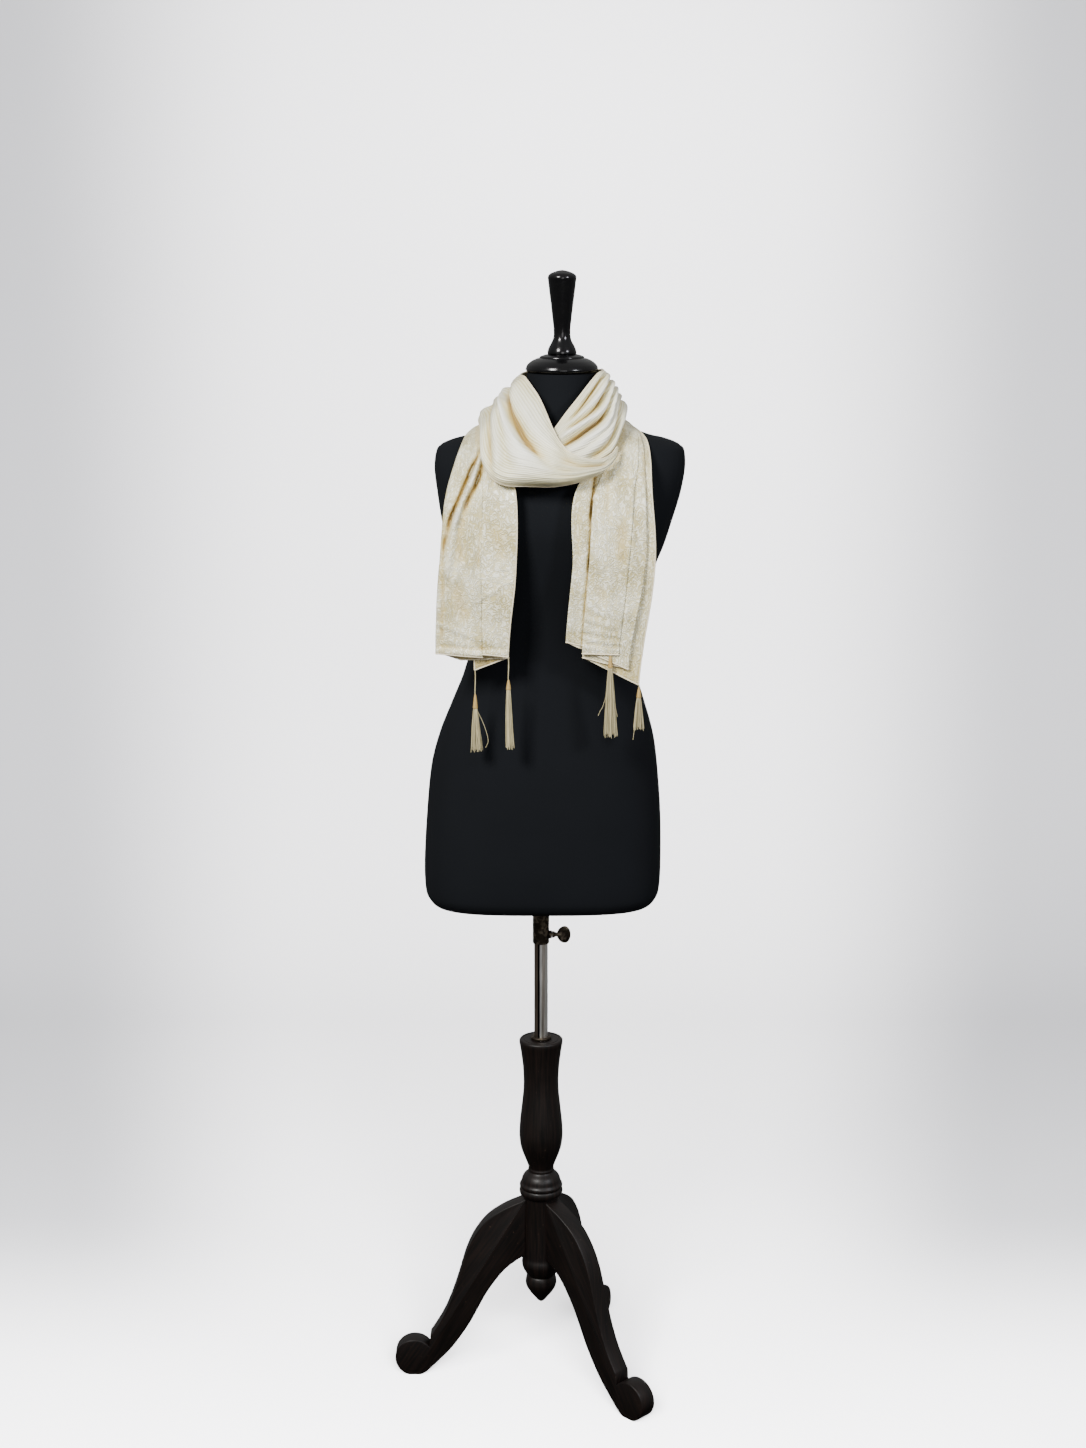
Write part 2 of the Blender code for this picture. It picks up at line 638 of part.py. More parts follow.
def main():
    remove_old_objects()
    guide = finish("guide", "#ff00ff", 0.5)
    silk = finish("ivory_silk", "#e9dfc8", 0.42)
    thread = finish("silk_tassel", "#cfc3a0", 0.5)
    jersey = finish("black_jersey", "#16181c", 0.9)
    lacquer = finish("black_lacquer", "#0c0c0e", 0.12)
    wood = finish("stained_wood", "#1c1613", 0.4)
    chrome = finish("chrome", "#c9c8c4", 0.12, 1.0)
    bronze = finish("blackened_steel", "#2e2a25", 0.45, 0.9)

    stand, pole = make_stand(wood, chrome, bronze, guide)
    torso, skin = make_torso(jersey, guide)
    form = [
        torso,
        turned("neck_cap", NECK_CAP_PROFILE, lacquer, NECK_X),
        turned("finial", FINIAL_PROFILE, lacquer, NECK_X, sides=20),
        make_collar(bronze, guide),
        make_band("stole_front_band", FRONT_BAND_SECTIONS, FRONT_BAND_FOLDS, 26, 14, silk),
        make_band("stole_inner_band", INNER_BAND_SECTIONS, INNER_BAND_FOLDS, 14, 12, silk),
        make_band("stole_back", BACK_BAND_SECTIONS, BACK_BAND_FOLDS, 18, 12, silk),
    ]
    corners = {}
    for side, folds in (("left", LEFT_END_FOLDS), ("right", RIGHT_END_FOLDS)):
        piece, corners[side] = make_end("stole_" + side + "_end", folds, skin, silk)
        form.append(piece)
    form += [make_tassel(row, corners[row[1]][row[2]], thread) for row in TASSELS]
    screw = make_thumbscrew(bronze, guide)

    whole = add_origin("stand_origin", (0, 0, 0))
    swivel = add_origin("swivel_axis", (0, 0, COLUMN_TOP * MM), whole)
    slide = add_origin("slide_axis", (0, 0, 0), swivel)
    screw_place = Vector((COLLAR_RADIUS, 0, SCREW_HEIGHT)) * MM
    screw_axis = add_origin("screw_axis", screw_place - swivel.location, slide)
    cutters = [item for item in bpy.data.objects if item.type == "MESH" and item.hide_render]
    drum = [item for item in cutters if item.name == "drum_cutter"]
    paddle = [item for item in cutters if item.name == "paddle"]
    hang_on(stand + drum, whole, (0, 0, 0))
    hang_on([pole], swivel, swivel.location)
    hang_on(form + [item for item in cutters if item not in drum + paddle], slide, swivel.location)
    hang_on([screw] + paddle, screw_axis, screw_place)
    middle = footprint_centre()
    whole.location = -middle
    print("moved by", [round(value * 1000, 2) for value in whole.location], "mm")


main()
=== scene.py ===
"""The looks of a silk stole wound round the neck of a limbless dress form, on a turned tripod stand.

Tables are in millimetres from the pole's axis on the floor: +X to the viewer's right, -Y the way the
form faces. place() turns them to metres in the frame.
"""
import math
import random

import bmesh
import bpy
import numpy as np
from mathutils import Matrix, Vector, noise
from mathutils.bvhtree import BVHTree


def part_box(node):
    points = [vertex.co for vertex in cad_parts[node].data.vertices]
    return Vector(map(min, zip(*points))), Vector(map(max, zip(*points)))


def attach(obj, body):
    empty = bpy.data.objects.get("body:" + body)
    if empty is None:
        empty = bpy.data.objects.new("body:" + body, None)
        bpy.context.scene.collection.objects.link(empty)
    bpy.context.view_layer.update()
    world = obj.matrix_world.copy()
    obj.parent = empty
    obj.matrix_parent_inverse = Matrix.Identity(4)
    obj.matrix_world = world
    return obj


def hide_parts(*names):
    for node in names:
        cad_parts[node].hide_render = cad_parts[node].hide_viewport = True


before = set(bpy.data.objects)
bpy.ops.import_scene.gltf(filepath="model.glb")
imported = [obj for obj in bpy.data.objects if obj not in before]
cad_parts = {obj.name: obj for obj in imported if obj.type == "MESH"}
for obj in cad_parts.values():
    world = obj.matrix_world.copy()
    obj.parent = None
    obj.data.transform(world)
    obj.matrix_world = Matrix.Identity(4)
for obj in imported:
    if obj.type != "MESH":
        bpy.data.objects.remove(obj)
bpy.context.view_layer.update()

MM = 0.001
POLE_LOW, POLE_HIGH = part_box("pole")
AXIS = Vector(((POLE_LOW.x + POLE_HIGH.x) / 2, (POLE_LOW.y + POLE_HIGH.y) / 2, 0))

# Camera: its place, how far it looks down, and its lens on a sensor 36 mm high
CAMERA_PLACE = (3.0, -3309.0, 1781.0)
CAMERA_TILT = 12.6
CAMERA_LENS = 57.2
SENSOR_HEIGHT = 36.0

NECK_X = 30.0             # the form leans, so its neck stands this far right of the pole
SILK = 0.7                # thickness of the modelled cloth
HEM_RADIUS = 1.1
ROUND_SIDES = 96
SCREW_SIDES = 32
HEAD_SIDES = 28
GRAIN_RADIUS = 0.03       # metres of grain per radian round a turned piece
DARK_LINE_TURN = -0.0573       # where the painted black line runs up the chrome tube, in the grain's own map

# Sections of the form, from the hips up: height, middle, half width, front, back, squareness
FORM_SECTIONS = [
    (771, 2, 146, 78, 88, 3.3),
    (775, 2, 160, 92, 101, 3.3),
    (785, 2, 169, 101, 110, 3.3),
    (800, 2, 174, 105, 115, 3.2),
    (840, 2.5, 175.5, 107, 117, 3),
    (910, 4, 173, 107, 119, 2.7),
    (980, 5, 167, 104, 115, 2.4),
    (1030, 8, 157, 99, 106, 2.3),
    (1080, 11, 140, 93, 95, 2.2),
    (1120, 13, 126, 88, 86, 2.2),
    (1165, 16, 118, 86, 80, 2.2),
    (1215, 19, 124, 91, 80, 2.2),
    (1265, 21, 139, 100, 83, 2.3),
    (1310, 22, 156, 109, 87, 2.4),
    (1345, 23, 166, 112, 89, 2.5),
    (1385, 26, 175, 104, 90, 2.5),
    (1420, 27, 180, 89, 87, 2.5),
    (1444, 28, 178, 76, 80, 2.4),
    (1452, 28, 172, 71, 77, 2.4),
    (1457, 28, 163, 68, 74, 2.3),
    (1462, 28, 148, 64, 71, 2.3),
    (1466, 28, 130, 62, 69, 2.2),
    (1477, 29, 98, 58, 66, 2.1),
    (1490, 29.5, 72, 55, 61, 2),
    (1508, 30, 58, 52.5, 56, 2),
    (1530, 30, 52, 50.5, 52, 2),
    (1554.5, 30, 49.5, 49.5, 49.5, 2),
]
FORM_BORE_RADIUS = 10.6
FORM_BORE_TOP = 1156.0
FORM_COLUMNS = 112
FORM_ROWS = 4 + 5 * (len(FORM_SECTIONS) - 1)

# Turned profiles: radius and height, from the bottom up
COLUMN_PROFILE = [
    (0, 166), (22, 166), (25, 171), (28.5, 178), (30, 185), (29.5, 190), (27.5, 196), (27.5, 298),
    (31, 299), (33, 302), (33.6, 306), (32.6, 309.5), (31.2, 311), (33, 313), (33, 316.5), (31, 319),
    (30.2, 321), (29.4, 326), (26.5, 331.5), (21.5, 335.5), (19.4, 338), (20.2, 340.5), (19, 343.5),
    (22, 353), (27.5, 366), (31.5, 379), (33.6, 396), (32.6, 418), (29.4, 446), (27, 468), (26.4, 487),
    (28, 513), (31, 535), (33, 546), (33, 550), (31.6, 552), (27.6, 552), (26.8, 551.2), (26, 552),
    (10.6, 552), (10.6, 454.7), (0, 454.7),
]
DROP_FINIAL_PROFILE = [
    (0, 118), (5, 121), (10.5, 128), (17.5, 137), (22.5, 145), (24.3, 152), (23.5, 160), (21, 165.7),
    (0, 165.7),
]
NECK_CAP_PROFILE = [
    (0, 1554.8), (48, 1554.8), (51, 1556.5), (52, 1560), (50, 1565.5), (44, 1571), (36, 1574.6),
    (32, 1575.4), (31.6, 1577.4), (26, 1579.4), (22, 1580.4), (0, 1580.4),
]
FINIAL_PROFILE = [
    (0, 1580.7), (20.2, 1580.7), (20.8, 1582.2), (20.4, 1586.0), (18.4, 1591.0), (15.4, 1596.2),
    (12.9, 1601.5), (11.8, 1608), (12.0, 1617), (13.6, 1631), (15.8, 1650), (18.2, 1669), (20.0, 1684),
    (20.5, 1687.4), (19.8, 1690.4), (16.8, 1693.4), (9.7, 1696.3), (3, 1697.9), (0, 1698.2),
]
POLE_PROFILE = [(0, 455), (10.3, 455), (10.3, 999.4), (9.7, 1000), (0, 1000)]
POLE_RING_PROFILE = [(10.6, 552.3), (15.5, 552.3), (15.5, 555.2), (14.2, 556.5), (10.6, 556.5)]
COLLAR_PROFILE = [
    (10.6, 704), (11.6, 704), (12.4, 704.8), (12.4, 731.2), (12.0, 731.6), (12.4, 732), (12.4, 770.7),
    (10.6, 770.7),
]
# Turned round the thumbscrew's axis: radius and distance from the pole's axis
SCREW_HEIGHT = 717.0
BOSS_PROFILE = [(3.1, 11.4), (6.2, 11.4), (6.0, 15.8), (5.2, 16.5), (3.1, 16.5)]
SHANK_PROFILE = [
    (0, 10.9), (2.5, 10.9), (2.5, 16.8), (5.0, 16.8), (5.2, 17.4), (5.2, 18.6), (4.4, 20.4), (3.4, 22),
    (3.0, 23.5), (3.1, 25), (3.2, 30), (0, 30),
]
PADDLE = (34.2, 10.4, 3.2, 13.2)    # centre's distance, half length, half thickness, half height

# Edges of a leg's board in its own plane: distance from the pole's axis, height
LEG_TOP_EDGE = [
    (24, 294), (34, 289), (54, 280), (76, 266), (91, 251), (105, 230), (116, 205), (124, 178), (132, 151),
    (142, 122), (153, 97), (164, 78), (173, 64),
]
LEG_BOTTOM_EDGE = [
    (175, 9), (160, 24), (142, 43), (127, 63), (111, 88), (98, 113), (85, 138), (69, 162), (54, 180),
    (34, 196), (24, 200.4),
]
LEG_THICKNESS = 28.0
LEG_GRAIN = Vector((0.56, -0.83))
LEG_DIRECTIONS = {"leg_right": -45.0, "leg_left": 180.0, "leg_back": 63.0}
SCROLL_CENTRE = (198.0, 28.5)
SCROLL_RADIUS = 30.0
SCROLL_ANGLES = (142.0, -130.0)
SCROLL_STEPS = 48

# Neck wrap, one length of cloth from the end hidden behind the crossing, up the right side, round the
# back, down the left side and across the front. Each row is a section:
# upper edge x, y, z, then lower edge x, y, z, belly, and how far the lower edge curls back under
WRAP_SECTIONS = [
    (3, -90, 1464, -6, -109, 1435, 2, 2),
    (16, -85, 1478, 14, -110, 1435, 3, 2),
    (31, -79, 1498, 42, -110, 1435, 4, 2),
    (48, -68, 1520, 70, -107, 1439, 5, 2),
    (66, -52, 1543, 96, -100, 1450, 5, 2),
    (79, -33, 1555, 112, -68, 1477, 4, 2),
    (86, -14, 1558, 119, -28, 1496, 2, 2),
    (86, 12, 1558, 121, 12, 1502, 0, 2),
    (80, 32, 1556, 118, 46, 1496, 2, 3),
    (62, 49, 1554, 98, 80, 1478, 5, 4),
    (30, 59, 1553, 34, 90, 1462, 8, 4),
    (-2, 50, 1554, -42, 82, 1470, 5, 4),
    (-20, 32, 1553, -86, 48, 1486, 0, 3),
    (-27, 12, 1551, -91, 12, 1487, -5, 2),
    (-26, -14, 1552, -89, -28, 1479.4, -3, 3),
    (-20, -40, 1550, -87, -84, 1465, 4, 6),
    (-4, -60, 1527, -85, -121, 1434, 8, 10),
    (9, -80, 1502, -66, -139, 1412, 10, 13),
    (18, -98, 1482, -22, -144, 1407, 10, 16),
    (29, -115, 1464, 26, -144, 1408, 9, 16),
    (48, -126, 1449, 61, -140, 1415, 7, 13),
    (79, -122, 1443, 87, -129, 1426, 5, 8),
    (97, -108, 1450, 102, -113, 1441, 3, 4),
    (105, -95, 1459, 107, -97, 1454, 1, 1),
]

# Lines of relief along the neck wrap: section row, share across, and height above the band.
# A high line is a rounded ridge, a low one a sharp hollow, and the cloth runs smoothly between them.
WRAP_LINES = {
    "inner hem": [
        (0.6, 0.10, 1), (1.8, 0.13, 3), (2.8, 0.10, 4), (3.5, 0.07, 4), (4.3, 0.06, 4), (5.5, 0.06, 3),
        (7, 0.07, 2), (9, 0.08, 2), (12, 0.08, 2), (13.5, 0.07, 3), (14.6, 0.06, 2), (15.6, 0.05, 1),
    ],
    "hollow under the inner hem": [
        (2.1, 0.18, 1), (3, 0.17, -4), (3.8, 0.145, -6), (5.1, 0.11, -5), (5.9, 0.11, -1),
    ],
    "upper roll": [
        (1.6, 0.24, 3), (2.1, 0.23, 5), (2.9, 0.23, 6), (3.7, 0.23, 7), (4.7, 0.20, 7), (6.1, 0.16, 5),
        (9, 0.18, 5), (12, 0.17, 5), (14, 0.17, 5), (15.4, 0.19, 5), (16.2, 0.18, 6), (17.1, 0.18, 6),
        (18.3, 0.18, 5), (19, 0.19, 3), (19.5, 0.21, 2),
    ],
    "long hollow": [
        (1.9, 0.28, 0), (2.8, 0.31, -4), (3.6, 0.345, -7), (4.6, 0.32, -7), (5.3, 0.25, -5), (6.5, 0.25, -3),
        (9, 0.30, -4), (12, 0.32, -5), (13.5, 0.38, -7), (15.4, 0.393, -9), (16, 0.383, -11),
        (16.7, 0.38, -11), (17.3, 0.40, -9), (17.8, 0.44, -5), (18.3, 0.50, -1), (18.8, 0.62, 1),
    ],
    "long ridge": [
        (1.2, 0.36, 2), (1.7, 0.36, 5), (2.4, 0.365, 8), (3.2, 0.385, 9), (4, 0.41, 9), (4.7, 0.39, 8),
        (5.7, 0.31, 7), (7, 0.33, 6), (9, 0.37, 7), (12, 0.38, 7), (13.5, 0.44, 8), (15.4, 0.43, 9),
        (16.2, 0.43, 9), (16.9, 0.43, 9), (17.7, 0.485, 8), (18.3, 0.58, 6), (18.7, 0.76, 4),
        (19.1, 0.94, 1),
    ],
    "deep hollow at the right": [
        (1.3, 0.55, -1), (1.9, 0.56, -6), (2.4, 0.53, -9), (3.2, 0.51, -12), (3.9, 0.53, -12),
        (4.5, 0.50, -10), (4.9, 0.43, -7), (5.5, 0.38, -3), (7, 0.42, -3), (9, 0.48, -3), (12, 0.50, -1),
        (13.7, 0.53, 1), (15.5, 0.51, 2), (16.3, 0.56, 2), (17.1, 0.68, 2), (17.7, 0.88, 1),
    ],
    "side ridge": [
        (1, 0.75, 3), (2.1, 0.71, 7), (2.9, 0.65, 9), (3.7, 0.62, 10), (4.3, 0.59, 9), (5.1, 0.48, 8),
        (6.6, 0.46, 6), (9, 0.57, 6), (12, 0.58, 5), (13.8, 0.60, 5), (15.7, 0.59, 6), (16.6, 0.71, 6),
        (17.2, 0.95, 3),
    ],
    "side hollow": [
        (1.6, 0.83, 3), (2.4, 0.79, 4), (3.6, 0.69, 5), (4.4, 0.65, 5), (5.3, 0.54, 4), (6.5, 0.55, 1),
        (9, 0.68, -1), (12, 0.70, -1), (13.5, 0.74, -2), (15, 0.76, -3), (15.9, 0.77, -4), (16.5, 0.86, -3),
        (16.9, 0.97, -1),
    ],
    "lower ridge": [
        (2, 0.92, 4), (2.6, 0.88, 6), (3.1, 0.82, 7), (3.7, 0.76, 8), (4.5, 0.71, 7), (5.4, 0.60, 6),
        (7, 0.66, 5), (9, 0.80, 5), (12, 0.84, 5), (13.6, 0.89, 4), (15.2, 0.90, 5), (16, 0.91, 5),
        (16.5, 0.97, 2),
    ],
    "hollow by the right edge": [
        (2.7, 0.96, -1), (3.4, 0.90, -3), (4, 0.86, -4), (4.9, 0.80, -4), (5.6, 0.71, -3), (7, 0.76, -1),
        (8.5, 0.87, 0),
    ],
    "right edge": [
        (3.4, 0.98, 3), (4, 0.95, 5), (4.6, 0.93, 6), (5.4, 0.90, 6), (7, 0.88, 4), (8.5, 0.93, 2),
    ],
    "rim": [
        (19.2, 0.06, 2), (19.8, 0.08, 3), (20.3, 0.13, 3.5), (21.1, 0.12, 3.5), (21.7, 0.25, 3),
        (22.5, 0.40, 1),
    ],
    "under the rim": [
        (18.7, 0.36, -1), (19.6, 0.32, -2), (20.2, 0.38, -3), (20.9, 0.38, -3), (21.6, 0.50, -2),
    ],
    "second lip": [(19, 0.70, 1), (19.7, 0.62, 2), (20.4, 0.60, 3), (21, 0.65, 3), (21.8, 0.82, 1)],
}
LINE_FADE = 0.5           # rows over which a line of relief starts and ends
RELIEF = 1.4              # how strongly the lines of relief stand out
EDGE_HEIGHT = 1.5         # height at the wrap's upper edge, which is rolled
RIDGE_LEAN = 0.35         # how far a ridge leans over the hollow above it, as a share of its height
WRAP_EDGE = 0.04          # share across in which pleats and lean fade towards an edge
WRAP_PLEATS = [           # fine pleats: waves along a row of the table and across, seed, height
    (0.35, 13, 3.1, 1.6), (0.7, 30, 7.7, 1.1), (0.9, 4, 1.3, 1.0),
]
WRAP_CLOTH = (610.0, 153.4)         # length and width of the wrap's weave, for its scale
WRAP_COLUMNS = 440
WRAP_ROWS = 100

# The way down of a hanging end's outer layer, from the hem up and over the shoulder:
# y, height or None below the middle, place in the columns of the fold table, hug, layer spacing
END_ROWS = [
    (-139, None, 0.0, 0.0, 3.2),
    (-140, None, 0.33, 0.0, 3.2),
    (-141, None, 0.67, 0.0, 3.2),
    (-140, 1290, 1.0, 0.0, 3.2),
    (-138, 1340, 1.5, 0.0, 3.2),
    (-127, 1392, 2.0, 0.0, 3.0),
    (-107, 1434, 2.5, 0.3, 2.6),
    (-82, 1466, 2.8, 0.8, 2.3),
    (-64, 1481, 2.95, 1.0, 2.1),
    (-46, 1492, 3.1, 1.0, 2.0),
    (-27, 1498, 3.25, 1.0, 1.9),
    (-8, 1500, 3.4, 1.0, 1.9),
    (10, 1498, 3.6, 1.0, 1.9),
    (28, 1491, 3.8, 1.0, 1.9),
    (42, 1483, 4.0, 1.0, 1.9),
]
HANGING_ROWS = 3          # the first rows, up to the middle, hang free
MIDDLE_HEIGHT = 1290.0
END_BOW = 0.0005          # how fast a hanging end falls back towards its outer side
PIVOT_HEIGHT = 1400.0
OUTSIDE = 400.0
REST_GAP = 2.3            # from the form's skin to the middle of the nearest layer
END_SUBROWS = 14
END_STEP = 2.4            # a layer has a point about this often across
END_CLOTH = 0.46          # length of an end's weave in metres, for its scale
COWL_SHADE = 13           # how far below the wrap its shade reaches
CREASE_FADE = 13          # a crease fades over this length beyond its ends
CREASE_REACH = 40
CREASE_SKIP = 45          # a crease further above or below than this isn't worked out
LEVEL = 3.0               # relief at which the wrap gets neither painted gold shade nor painted white highlight
# painted shade and highlight for each millimetre of relief below or above that level, and of a crease's
# depth
PAINTED_LIGHT_AND_SHADE_PER_MM = 0.11
# painted white highlight for each millimetre a crease of the ends stands up
PAINTED_HIGHLIGHT_PER_MM = 0.25

# Fold lines of the hanging ends, in order across the cloth from corner to corner:
# x at the hem, middle, bust, shoulder and back, then the height of the hem, then the layer, counted
# from the front, at which the next panel starts and the one at which it ends
LEFT_END_FOLDS = [
    (-94, -96, -94, -72, -60, 1146, 4, 4),
    (-47, -38, -38, -56, -44, 1165, 3, 3),
    (-113, -112, -106, -92, -70, 1161, 3, 3),
    (-144, -138, -128, -106, -80, 1170, 0, 0),
    (-83, -84, -82, -78, -62, 1167, 0.2, 0.2),
    (-90, -91, -89, -86, -66, 1172, 0.5, 0.5),
    (-46, -35, -35, -54, -42, 1168, 0.5, 0.5),
]
RIGHT_END_FOLDS = [
    (138, 159, 155, 149, 112, 1126, 2.6, 2.9),
    (60, 68, 74, 106, 92, 1166, 2.1, 1.4),
    (122, 144, 145, 140, 106, 1150, 0.6, 1.5),
    (36, 45, 47, 92, 86, 1189, 1, 1),
    (76, 85, 92, 128, 100, 1180, 0.5, 0.5),
    (59, 68, 75, 104, 90, 1173, 0, 0),
    (109, 121, 128, 136, 106, 1171, 0.3, 0.3),
    (97, 104, 112, 122, 98, 1172, 0.3, 0.3),
]
# The neck wrap's lower edge, x and z: the ends get a painted gold shadow just below it
COWL_EDGE = [
    (-97, 1520), (-90, 1447), (-85, 1434), (-66, 1412), (-22, 1407), (26, 1408), (61, 1415), (89, 1425),
    (109, 1440), (117, 1456), (124, 1530),
]

# Soft creases of the hanging ends: from x, z to x, z, width and height, then for a crease of the deeper
# layers the one from which it is whole
LEFT_END_CREASES = [
    (-140, 1174, -88, 1171, 2.4, 2.2),
    (-138, 1181, -88, 1179, 2.6, -1.8),
    (-78, 1172, -50, 1173, 2.2, 1.8),
    (-78, 1179, -50, 1180, 2.4, -1.4),
    (-136, 1330, -139, 1200, 3.0, -2.6),
    (-85, 1456, -97, 1430, 2.6, -5.0),
    (-97, 1430, -124, 1366, 3.0, -8.0),
    (-124, 1366, -133, 1330, 3.5, -3.0),
    (-82, 1452, -94, 1418, 3.0, 3.5),
    (-94, 1418, -119, 1358, 4.0, 5.0),
    (-119, 1358, -131, 1290, 5.0, 3.0),
    (-79, 1446, -88, 1416, 3.2, -7.0),
    (-88, 1416, -104, 1384, 4.2, -6.0),
    (-104, 1384, -110, 1356, 5.0, -2.0),
    (-72, 1440, -78, 1395, 6.0, 3.0),
    (-60, 1440, -54, 1380, 8.0, 1.6),
    (-84, 1345, -87, 1300, 3.0, -2.2),
    (-81, 1345, -82, 1250, 3.0, 1.4),
    (-82, 1250, -83, 1185, 2.6, -1.4),
    (-118, 1278, -134, 1252, 4.0, 1.2),
    (-80, 1252, -52, 1270, 2.5, 1.2),
    (-78, 1246, -50, 1262, 3.0, -1.0),
    (-142, 1212, -86, 1192, 3.2, 1.4),
    (-138, 1204, -90, 1186, 3.0, -1.0),
    (-120, 1262, -106, 1230, 12.0, -2.2),
    (-122, 1352, -112, 1310, 10.0, -2.2),
    (-96, 1290, -94, 1240, 7.0, 1.8),
    (-62, 1345, -52, 1310, 10.0, -1.8),
    (-50, 1300, -44, 1240, 6.0, 1.4),
    (-64, 1240, -54, 1205, 8.0, 1.6),
]
RIGHT_END_CREASES = [
    (40, 1194, 58, 1186, 2.0, 1.6),
    (40, 1200, 58, 1192, 2.0, -1.2),
    (76, 1425, 70.5, 1372, 2.6, -10.0, 1.2),
    (70.5, 1372, 66.5, 1300, 2.0, -7.0, 1.2),
    (66.5, 1300, 58, 1180, 1.9, -4.5, 1.2),
    (52, 1370, 50, 1290, 4.0, -2.0),
    (48, 1290, 44, 1210, 4.0, 1.6),
    (46, 1385, 44, 1350, 6.0, 2.0),
    (126, 1425, 128, 1340, 3.2, 2.4),
    (128, 1340, 121, 1230, 3.4, 2.0),
    (121, 1230, 116, 1185, 3.0, 1.6),
    (104, 1430, 104, 1385, 6.0, 2.0),
    (92, 1420, 92, 1380, 5.0, -1.6),
    (113, 1350, 112, 1310, 10.0, -2.4),
    (84, 1268, 92, 1250, 10.0, -2.0),
    (80, 1330, 90, 1280, 12.0, 1.8),
    (100, 1290, 98, 1240, 9.0, 1.6),
    (144, 1450, 148, 1405, 2.8, -4.5),
    (148, 1440, 153, 1350, 3.5, 2.0),
    (150, 1350, 146, 1270, 4.0, -1.8),
    (142, 1270, 134, 1190, 3.5, 1.6),
    (64, 1207, 108, 1198, 1.8, 1.5),
    (62, 1200, 106, 1192, 1.6, -1.1),
    (62, 1194, 106, 1187, 1.7, 1.5),
    (62, 1187, 104, 1182, 1.5, -1.0),
    (61, 1181, 104, 1178, 1.6, 1.2),
    (66, 1222, 88, 1214, 2.6, 1.2),
    (64, 1232, 84, 1224, 3.0, -1.0),
    (112, 1200, 122, 1176, 2.0, 1.3),
    (106, 1196, 116, 1172, 2.0, -1.1),
]

# Tassels: end, corner, thread length, head height, skirt bottom, half width, bend to the right
TASSELS = {
    "tassel_1": ("left", 0, 34, 22, 1029, 8.8, 1.5),
    "tassel_2": ("left", -1, 32, 15, 1037, 6.6, 2.0),
    "tassel_3": ("right", -1, 2, 18, 1054, 10.4, 1.0),
    "tassel_4": ("right", 0, 3, 16, 1062, 8.2, 0.5),
}
# Stray threads, from the foot of the head: sideways, back and down
STRAY_THREADS = {
    "tassel_1": [[(1, 0, 0), (3.7, -1, -4), (12.4, -1, -23.6), (18, -1, -44.7), (14.3, -1, -55.8)]],
    "tassel_2": [[(0, -1, 0), (1, -2, -40), (2.5, -2, -71), (-1, -2, -76), (-4, -2, -81)]],
    "tassel_3": [
        [(-1, 0, 0), (-4, -2, -30), (-9.9, -3, -53), (-14, -3, -61), (-16.8, -3, -67.6)],
        [(1, 0, 0), (4.5, -2, -33), (7, -3, -52), (10.4, -3, -69)],
    ],
    "tassel_4": [[(-1, 0, 0), (-3.5, -1, -25), (-6, -2, -44), (-8, -2, -60)]],
}
STRANDS = 64              # threads in a skirt
STRAND_RADIUS = 0.37
RAGGED = (-6.0, 2.0)      # how far a strand ends above or below the skirt's bottom
HEAD_RADIUS = 3.6
THREAD_RADIUS = 0.7
WRAPPING_PITCH = 0.8

# The silk's ground in its darker and lighter blotches, partly painted sheen, how strongly its figure's
# painted glints show in each, its gloss
SILK_LOOKS = {
    "ribbed": ("#c4b87a", "#dfd5a2", 0.7, 0.9, 0.34),
    "crinkled": ("#bdb078", "#e6ddb2", 0.5, 1.0, 0.27),
}
RIB_TURN = math.radians(6)

# Backdrop in metres: half width, front, back, radius of the sweep, top
PAPER = (6.0, -7.0, 3.2, 1.6, 5.0)
# Lamps: name, place, size, power, colour, aimed at, and whether it lights the paper alone
LAMPS = [
    ("key", (-1.5, -2.4, 3.2), 0.9, 190, "#fffefb", (0, 0, 1.3), False),
    ("fill", (2.3, -2.3, 2.7), 0.6, 66, "#f6f8ff", (0, 0, 1.2), False),
    ("front", (0.4, -3.6, 1.9), 1.2, 22, "#ffffff", (0, 0, 1.1), False),
    ("paper_halo", (0.2, 1.4, 2.1), 0.8, 66, "#ffffff", (0.2, 3.1, 1.3), True),
    ("paper_top", (-0.6, 0.6, 3.8), 1.8, 40, "#ffffff", (-0.6, 2.9, 2.2), True),
    ("paper_sides", (0.0, -1.2, 3.8), 2.4, 10, "#ffffff", (0, 2.9, 1.0), True),
    ("floor_front", (0.0, -2.7, 1.5), 2.0, 1000, "#ffffff", (0, -1.5, 0.0), True),
]


def place(point):
    """A point in millimetres from the pole's axis, in metres in the frame."""
    return AXIS + Vector(point) * MM


def linear(colour):
    """An sRGB hex colour as linear red, green, blue and alpha."""
    channels = [int(colour[i:i + 2], 16) / 255 for i in (1, 3, 5)]
    return (*[c / 12.92 if c <= 0.04045 else ((c + 0.055) / 1.055) ** 2.4 for c in channels], 1.0)


def clamp(value, low=0.0, high=1.0):
    return min(max(value, low), high)


def fill(tree, node, inputs):
    """Set a node's inputs to values or hex colours, or link them to other nodes' outputs."""
    for name, value in inputs.items():
        if isinstance(value, bpy.types.NodeSocket):
            tree.links.new(value, node.inputs[name])
        else:
            node.inputs[name].default_value = linear(value) if isinstance(value, str) else value


def add(tree, kind, output, inputs=None, **settings):
    """Add a node with its settings and inputs, and give one of its outputs."""
    made = tree.nodes.new("ShaderNode" + kind)
    for name, value in settings.items():
        setattr(made, name, value)
    fill(tree, made, inputs or {})
    return made.outputs[output]


def new_material(name):
    material = bpy.data.materials.new(name)
    material.use_nodes = True
    return material, material.node_tree


def dress(material, **inputs):
    """Fill the inputs of a material's Principled shader, named with underscores for spaces."""
    tree = material.node_tree
    fill(tree, tree.nodes["Principled BSDF"], {key.replace("_", " "): inputs[key] for key in inputs})
    return material


